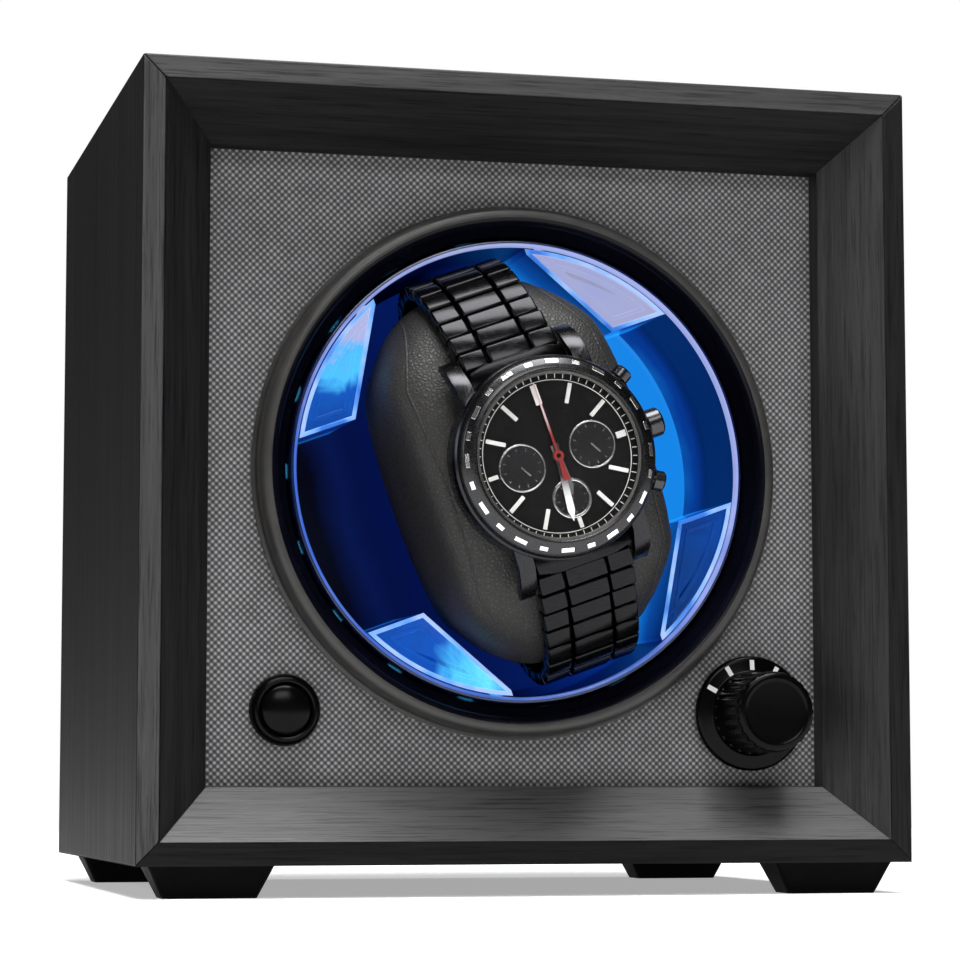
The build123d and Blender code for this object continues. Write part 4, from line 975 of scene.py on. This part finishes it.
def build_block(name, flip_x, flip_y):
    """A hollow corner block: its wall stands round a shallow tray with a smaller step inside it."""
    bm = bmesh.new()
    front = -(RIM_DEPTH + BLOCK_SINK)
    levels = [(0.0, BLOCK_FOOT_Z)] + [(shrink, front - sink) for shrink, sink in BLOCK_LEVELS]
    loops = []
    for shrink, height in levels:
        outline = flipped(block_outline(max(shrink, BLOCK_LEAST_SHRINK)), flip_x, flip_y)
        loops.append([bm.verts.new((x, y, height)) for x, y in outline])
    for index, (low, high) in enumerate(zip(loops, loops[1:])):
        slot = 2 if index == 0 else 1 if index in BLOCK_EDGE_LEVELS else 0
        for i in range(len(low)):
            j = (i + 1) % len(low)
            bm.faces.new((low[i], low[j], high[j], high[i])).material_index = slot
    bm.faces.new(loops[-1])
    bm.faces.new(loops[0])
    return from_bmesh(f"corner_block_{name}", bm, TO_DRUM, 25)


def build_blocks():
    """The four corner blocks, each with its own painted sheen."""
    corners = {"upper_right": (1, 1), "upper_left": (-1, 1), "lower_left": (-1, -1), "lower_right": (1, -1)}
    for name, (flip_x, flip_y) in corners.items():
        stops, direction, low, high, strength = BLOCK_PAINTED_SHEENS[name]
        face = glowing(f"block_{name}", (0.004, 0.03, 0.12), stops, block_glow(direction, low, high), strength)
        block = build_block(name, flip_x, flip_y)
        dress(block, [face, BLOCK_EDGE_HIGHLIGHT, BLOCK_SIDE_PAINTED_LIGHT], "drum")
        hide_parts("drum_corner_blocks")


# ---------------------------------------------------------------- knob and button


def build_knob():
    """A fluted body on a thin skirt with four ticks."""
    at_knob = TO_FACE @ Matrix.Translation((KNOB_X * MM, KNOB_Y * MM, 0))
    face = [(radius, KNOB_FRONT_Z + height) for radius, height in KNOB_FACE]
    outline = face + KNOB_SIDE + KNOB_SKIRT + KNOB_BORE_END
    nearest, furthest = FLUTE_RADII

    def fluted(radius, height, angle):
        if not nearest <= radius <= furthest:
            return radius
        wave = 0.5 - 0.5 * math.cos(angle * FLUTES)
        return radius - FLUTE_DEPTH * wave**3

    profile = rounded(outline, 0.25, 3, closed=False)
    knob = lathe(
        "knob_body", profile, at_knob, sharp_angle=40, segments=480, closed=False, radius_of=fluted
    )
    dress(knob, GLOSS_BLACK, "mode_knob")
    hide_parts("mode_knob")
    bm = bmesh.new()
    tilt = Matrix.Rotation(math.radians(TICK_TILT), 4, "Y")
    for angle in TICK_ANGLES:
        place = turned(angle) @ Matrix.Translation(TICK_PLACE) @ tilt
        add_block(bm, TICK_SIZE, place, MARK_EDGE, 1)
    dress(from_bmesh("knob_ticks", bm, at_knob), TICK_WHITE, "mode_knob")


def build_button():
    """A domed button inside its raised ring."""
    at_button = TO_FACE @ Matrix.Translation((BUTTON_X * MM, BUTTON_Y * MM, 0))
    ring = rounded(RING_INSIDE + RING_OUTSIDE, 0.3, 3)
    housing = lathe("button_ring", ring, matrix=at_button, segments=128)
    dress(housing, GLOSS_BLACK, "cabinet")
    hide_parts("button_housing")
    dome = DOME_TOP + DOME_STEM
    button = lathe("button_dome", dome, at_button, sharp_angle=50, segments=128, closed=False)
    dress(button, GLOSS_BLACK, "power_button")
    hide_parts("button_cap")


# ---------------------------------------------------------------- cushion


def cushion_width(y):
    """The cushion's half width at a distance from the drum's axis: straight, then slanted along the blocks."""
    past = max(0.0, abs(y) - CUSHION_SHOULDER) / (CUSHION_HALF.y - CUSHION_SHOULDER)
    return CUSHION_HALF.x + (CUSHION_END_W - CUSHION_HALF.x) * min(1.0, past)


def cushion_start():
    """The cushion's plump start shape in the drum frame, a little smaller than its space."""
    bm = bmesh.new()
    bmesh.ops.create_cube(bm, size=2.0)
    bmesh.ops.subdivide_edges(bm, edges=bm.edges[:], cuts=CUSHION_CUTS, use_grid_fill=True)
    for vert in bm.verts:
        x, y, z = vert.co
        across = y * math.sqrt(1 - z * z / 2)
        up = z * math.sqrt(1 - y * y / 2)
        rim = 1 - CUSHION_SIDE_SQUASH * abs(x) ** 5
        side = 1 - CUSHION_FACE_SQUASH * (across * across + up * up) ** 2
        place_y = across * CUSHION_HALF.y * rim
        place_x = x * cushion_width(place_y) * side * CUSHION_START
        vert.co = (place_x, place_y, CUSHION_MID + up * CUSHION_HALF.z * rim)
    return from_bmesh("cushion_pad", bm, TO_DRUM, 180)


def seam_path(surface, side):
    """Points round one side of the cushion where rays towards its middle meet its surface."""
    to_world = TO_DRUM @ Matrix.Scale(MM, 4)
    path = []
    for k in range(SEAM_STEPS):
        angle = 2 * math.pi * k / SEAM_STEPS
        y = CUSHION_HALF.y * math.sin(angle)
        x = side * cushion_width(y) * SEAM_PLACE
        above = SEAM_REACH * CUSHION_HALF.z * math.cos(angle)
        outside = to_world @ Vector((x, SEAM_REACH * y, CUSHION_MID + above))
        inside = to_world @ Vector((x, 0, CUSHION_MID))
        hit = surface.ray_cast(outside, (inside - outside).normalized())[0]
        path.append(to_world.inverted() @ hit)
    return path


def build_seams(cushion):
    """A raised seam round each side of the cushion, laid on its surface."""
    surface = BVHTree.FromObject(cushion, bpy.context.evaluated_depsgraph_get())
    turns = [2 * math.pi * k / SEAM_SIDES for k in range(SEAM_SIDES)]
    bm = bmesh.new()
    for side in (-1, 1):
        path = seam_path(surface, side)
        rings = []
        for k, point in enumerate(path):
            along = (path[(k + 1) % SEAM_STEPS] - path[k - 1]).normalized()
            out = (point - Vector((0, 0, CUSHION_MID))).normalized()
            level = along.cross(out).normalized() * SEAM_R
            high = out * SEAM_R * SEAM_FLATTEN
            rings.append([bm.verts.new(point + level * math.cos(a) + high * math.sin(a)) for a in turns])
        for ring, after in zip(rings, rings[1:] + rings[:1]):
            for a in range(SEAM_SIDES):
                b = (a + 1) % SEAM_SIDES
                bm.faces.new((ring[a], ring[b], after[b], after[a]))
    dress(from_bmesh("cushion_seams", bm, TO_DRUM, 60), LEATHER, "cushion")


def inflate(piece, voxel, cap, frames):
    """Cloth simulation under a little pressure, with each point's travel capped."""
    remesh = piece.modifiers.new("remesh", "REMESH")
    remesh.mode = "VOXEL"
    remesh.voxel_size = voxel * MM
    apply_modifiers(piece)
    start = [vertex.co.copy() for vertex in piece.data.vertices]
    cloth = piece.modifiers.new("cloth", "CLOTH")
    cloth.settings.use_pressure = True
    cloth.settings.uniform_pressure_force = 4
    cloth.settings.effector_weights.gravity = 0
    cloth.settings.mass = 0.2
    cloth.settings.tension_stiffness = 30
    cloth.settings.bending_stiffness = 2
    cloth.point_cache.frame_end = frames
    for number in range(1, frames + 1):
        bpy.context.scene.frame_set(number)
    apply_modifiers(piece)
    for vertex, before in zip(piece.data.vertices, start):
        travel = vertex.co - before
        if travel.length > cap * MM:
            vertex.co = before + travel.normalized() * cap * MM
    bpy.context.scene.frame_set(1)
    smooth = piece.modifiers.new("smooth", "SMOOTH")
    smooth.iterations = 6
    smooth.factor = 0.5
    surface = piece.modifiers.new("surface", "SUBSURF")
    surface.levels = 1
    surface.render_levels = 1
    apply_modifiers(piece)
    shade(piece, 180)


def build_cushion():
    """The leather pad, swollen by a short cloth simulation and then seamed."""
    cushion = cushion_start()
    inflate(cushion, CUSHION_VOXEL, CUSHION_SWELL, SWELL_FRAMES)
    dress(cushion, LEATHER, "cushion")
    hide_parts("cushion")
    build_seams(cushion)


# ---------------------------------------------------------------- watch


def strap_point(t):
    """A point on the bracelet's middle line as (y, height), for an angle from the watch round the cushion."""
    return Vector((STRAP_A * math.sin(t), CUSHION_MID + STRAP_B * math.cos(t)))


def strap_stations(start, end):
    """Evenly spaced stations along the bracelet with their directions."""
    stations = []
    t = start
    walked = LINK_PITCH
    before = strap_point(t)
    while t < end:
        t += STRAP_WALK
        here = strap_point(t)
        walked += (here - before).length
        before = here
        if walked >= LINK_PITCH:
            walked = 0.0
            ahead = (strap_point(t + STRAP_AHEAD) - here).normalized()
            stations.append((here, ahead))
    return stations


def build_links(name, side, node):
    """Rows of three softened links that follow the cushion's oval."""
    bm = bmesh.new()
    start, end = (math.radians(angle) for angle in STRAP_SPAN)
    for index, (place, ahead) in enumerate(strap_stations(start, end)):
        lift = max(0.0, LINK_LIFT - index)
        up = Vector((-ahead.y, ahead.x))
        slope = Matrix.Rotation(math.atan2(ahead.y, ahead.x) * side, 4, "X")
        for across, width in LINKS_ACROSS:
            crown = LINK_CROWN if across == 0 else 0.0
            spot = place + up * (lift + crown)
            matrix = Matrix.Translation((across, side * spot.x, spot.y)) @ slope
            size = (width - LINK_SIDE_GAP, LINK_PITCH - LINK_GAP, STRAP_T)
            add_block(bm, size, matrix, LINK_EDGE, 3)
    links = from_bmesh(name, bm, TO_DRUM, 30)
    dress(links, LINK_STEEL, "cushion")
    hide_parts(node)


def build_end_links():
    """The solid links that fill the space between the lugs."""
    bm = bmesh.new()
    for side in (1, -1):
        add_prism(bm, flipped(END_LINK, 1, side), *END_LINK_Z, LINK_EDGE, 2)
    dress(from_bmesh("bracelet_end_links", bm, TO_DRUM), LINK_STEEL, "cushion")


def build_case():
    """The case's round middle and its four lugs."""
    dress(softened("watch_case", WATCH_EDGE, 2, 40), CASE_STEEL, "cushion")


def build_watch_bezel():
    """The watch's bezel with its lighter inside slope, and the marks round it."""
    profile = rounded(WATCH_BEZEL_OUTSIDE + WATCH_BEZEL_INSIDE, 0.2, 3)

    def part(index):
        radius, height = profile[index]
        return 1 if radius < REHAUT_R and height > REHAUT_Z else 0

    bezel = lathe("watch_bezel_ring", profile, matrix=TO_DRUM, segments=200, material_of=part)
    dress(bezel, [BEZEL_STEEL, REHAUT_STEEL], "cushion")
    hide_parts("watch_bezel")
    bm = bmesh.new()
    tilt = Matrix.Rotation(math.radians(BEZEL_MARK_TILT), 4, "Y")
    for i in range(BEZEL_MARKS):
        place = turned(360 * i / BEZEL_MARKS) @ Matrix.Translation(BEZEL_MARK_PLACE) @ tilt
        add_block(bm, (BEZEL_MARK_LENGTH, BEZEL_MARK_WIDTHS[i % 2], MARK_T), place, MARK_EDGE, 1)
    dress(from_bmesh("bezel_marks", bm, TO_DRUM), MARK_SILVER, "cushion")


def build_crystal():
    crystal = lathe("crystal_disc", CRYSTAL, matrix=TO_DRUM, segments=160, closed=False)
    dress(crystal, GLASS, "cushion")
    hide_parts("watch_crystal")


def build_dial():
    """The dial: a sunken centre, a raised minute track and baton markers."""
    dial = lathe("dial_plate", DIAL, matrix=TO_DRUM, segments=160, closed=False)
    dress(dial, DIAL_BLACK, "cushion")
    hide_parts("watch_dial")
    bm = bmesh.new()
    for hour in range(HOURS):
        near, far = SHORT_HOUR_MARK if hour in SHORT_HOURS else HOUR_MARK
        width = HOUR_MARK_WIDTHS[hour in WIDE_HOURS]
        place = turned(90 - 360 * hour / HOURS) @ Matrix.Translation(((near + far) / 2, 0, HOUR_MARK_Z))
        add_block(bm, (far - near, width, HOUR_MARK_T), place, HOUR_MARK_EDGE, 1)
    for minute in range(MINUTES):
        length = MINUTE_MARK_LENGTHS[minute % 5 > 0]
        place = turned(360 * minute / MINUTES) @ Matrix.Translation(MINUTE_MARK_PLACE)
        add_block(bm, (length, MINUTE_MARK_WIDTH, FINE_T), place, FINE_EDGE, 1)
    lathe_mesh(bm, TRACK, segments=120)
    dress(from_bmesh("dial_markers", bm, TO_DRUM), MARK_WHITE, "cushion")


def subdial_plate(radius):
    plate = bmesh.new()
    low, high = DIAL_Z + SUBDIAL_LOW, DIAL_Z + SUBDIAL_HIGH
    outline = [(0, low), (radius - SUBDIAL_BEVEL, low), (radius, high), (radius, DIAL_Z), (0, DIAL_Z)]
    lathe_mesh(plate, outline, 64, closed=False)
    return plate


def subdial_ring(radius, width, direction):
    """A subdial's ring with its ticks and its small hand."""
    ring = bmesh.new()
    low, high = SUBDIAL_RING_Z
    profile = [(radius - width, low), (radius, low), (radius, high), (radius - width, high)]
    lathe_mesh(ring, rounded(profile, 0.05, 2), 72)
    for tick in range(HOURS):
        inward = Matrix.Translation((radius - SUBDIAL_TICK_INSET, 0, DIAL_Z + SUBDIAL_HIGH))
        place = turned(360 * tick / HOURS) @ inward
        add_block(ring, SUBDIAL_TICK, place, FINE_EDGE, 1)
    hand = turned(direction + SUBDIAL_HAND_ANGLE) @ Matrix.Translation(SUBDIAL_HAND_PLACE)
    add_block(ring, SUBDIAL_HAND, hand, SUBDIAL_HAND_EDGE, 1)
    return ring


def build_subdials():
    """Three discs with rings, ticks and small hands."""
    plates = bmesh.new()
    rings = bmesh.new()
    for direction, distance, radius in SUBDIALS:
        middle = turned(direction) @ Matrix.Translation((distance, 0, 0))
        width = BOLD_RING_W if direction == BOLD_SUBDIAL else SUBDIAL_RING_W
        copy_into(plates, subdial_plate(radius), middle)
        copy_into(rings, subdial_ring(radius, width, direction), middle)
    dress(from_bmesh("subdial_plates", plates, TO_DRUM), DIAL_GREY, "cushion")
    dress(from_bmesh("subdial_rings", rings, TO_DRUM), MARK_SILVER, "cushion")


def copy_into(target, source, matrix):
    """Adds one bmesh to another, placed by a matrix."""
    bmesh.ops.transform(source, matrix=matrix, verts=source.verts)
    mesh = bpy.data.meshes.new("transfer")
    source.to_mesh(mesh)
    source.free()
    target.from_mesh(mesh)
    bpy.data.meshes.remove(mesh)


def build_watch():
    build_links("bracelet_links_upper", 1, "bracelet_upper")
    build_links("bracelet_links_lower", -1, "bracelet_lower")
    build_end_links()
    dress(softened("bracelet_clasp", WATCH_EDGE), BLACK_STEEL, "cushion")
    build_case()
    build_watch_bezel()
    build_crystal()
    build_dial()
    build_subdials()
    repaint(BLACK_STEEL, "watch_crown", "upper_pusher", "lower_pusher")
    repaint(HOUR_HAND, "hour_hand")
    repaint(MINUTE_HAND, "minute_hand")
    repaint(SECONDS_HAND, "seconds_hand")


def paint_works():
    """Better materials for the CAD nodes that stay as they are, most of them inside the cabinet."""
    repaint(BLACK_PLASTIC, "drum_housing", "drum_flange")
    repaint(WIRE, "light_strip", "wiring_loom")
    repaint(BRONZE, "drum_bush")
    repaint(MOTOR_STEEL, "motor_gearbox", "motor_can")
    repaint(STEEL, "motor_screws", "switch_nut", "button_nut", "switch_shaft")
    repaint(STEEL, "drum_shaft", "shaft_clip", "motor_shaft")
    repaint(BOARD_GREEN, "circuit_board")
    repaint(COMPONENT, "board_components", "switch_body", "button_switch")
    repaint(ACETAL, "board_standoffs", "drive_gear", "motor_pinion")
    repaint(GLOSS_BLACK, "dc_jack")
    repaint(LIGHT_CHIP, "light_chips")


# ---------------------------------------------------------------- stage


def build_camera():
    """The camera stands low, to the left of the front, and looks slightly up."""
    azimuth = math.radians(CAMERA_AZIMUTH)
    pitch = math.radians(CAMERA_PITCH)
    data = bpy.data.cameras.new("camera")
    data.lens = CAMERA_LENS
    data.sensor_width = CAMERA_SENSOR
    camera = bpy.data.objects.new("camera", data)
    bpy.context.scene.collection.objects.link(camera)
    level = math.cos(pitch)
    forward = Vector((math.sin(azimuth) * level, math.cos(azimuth) * level, math.sin(pitch)))
    foot_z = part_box("bottom_panel")[0].z
    camera.location = (AXIS_X + CAMERA_FROM_AXIS, FRONT_Y + CAMERA_FROM_FRONT, foot_z + CAMERA_ABOVE_FOOT)
    camera.rotation_euler = forward.to_track_quat("-Z", "Y").to_euler()
    bpy.context.scene.camera = camera


def add_softbox(name, place, target, width, height, radiance):
    data = bpy.data.lights.new(name, "AREA")
    data.shape = "RECTANGLE"
    data.size = width
    data.size_y = height
    data.energy = radiance * math.pi * width * height
    light = bpy.data.objects.new(name, data)
    light.location = place
    light.rotation_euler = (Vector(target) - Vector(place)).to_track_quat("-Z", "Y").to_euler()
    bpy.context.scene.collection.objects.link(light)


def build_floor():
    """A small white floor, a little lit from within so that it meets the background without an edge."""
    bm = bmesh.new()
    bmesh.ops.create_grid(bm, x_segments=1, y_segments=1, size=FLOOR_HALF)
    mesh = bpy.data.meshes.new("floor")
    bm.to_mesh(mesh)
    bm.free()
    floor = add_object("floor", mesh)
    floor.location.y = FLOOR_Y
    white = shader("floor_white", grey(0.9), 0.9, specular=0.0)
    bsdf = tree_of(white)[1]
    bsdf.inputs["Emission Color"].default_value = (1, 1, 1, 1)
    bsdf.inputs["Emission Strength"].default_value = FLOOR_GLOW
    mesh.materials.append(white)


def build_world():
    """White behind the object for the eye, and dim for light and reflections."""
    world = bpy.data.worlds.new("studio")
    bpy.context.scene.world = world
    world.use_nodes = True
    tree = world.node_tree
    tree.nodes.clear()
    path = tree.nodes.new("ShaderNodeLightPath")
    seen = tree.nodes.new("ShaderNodeBackground")
    seen.inputs["Color"].default_value = (1, 1, 1, 1)
    seen.inputs["Strength"].default_value = 1.0
    dim = tree.nodes.new("ShaderNodeBackground")
    dim.inputs["Color"].default_value = (0.9, 0.95, 1, 1)
    dim.inputs["Strength"].default_value = SKY_LIGHT
    mix = tree.nodes.new("ShaderNodeMixShader")
    out = tree.nodes.new("ShaderNodeOutputWorld")
    tree.links.new(path.outputs["Is Camera Ray"], mix.inputs[0])
    tree.links.new(dim.outputs[0], mix.inputs[1])
    tree.links.new(seen.outputs[0], mix.inputs[2])
    tree.links.new(mix.outputs[0], out.inputs["Surface"])


def build_stage():
    build_floor()
    build_world()
    for name, softbox in SOFTBOXES.items():
        add_softbox(name, *softbox)
    bpy.context.scene.view_settings.view_transform = "Standard"


build_camera()
build_cabinet()
build_cloth()
build_bezel()
build_cup()
build_blocks()
build_knob()
build_button()
build_cushion()
build_watch()
paint_works()
build_stage()
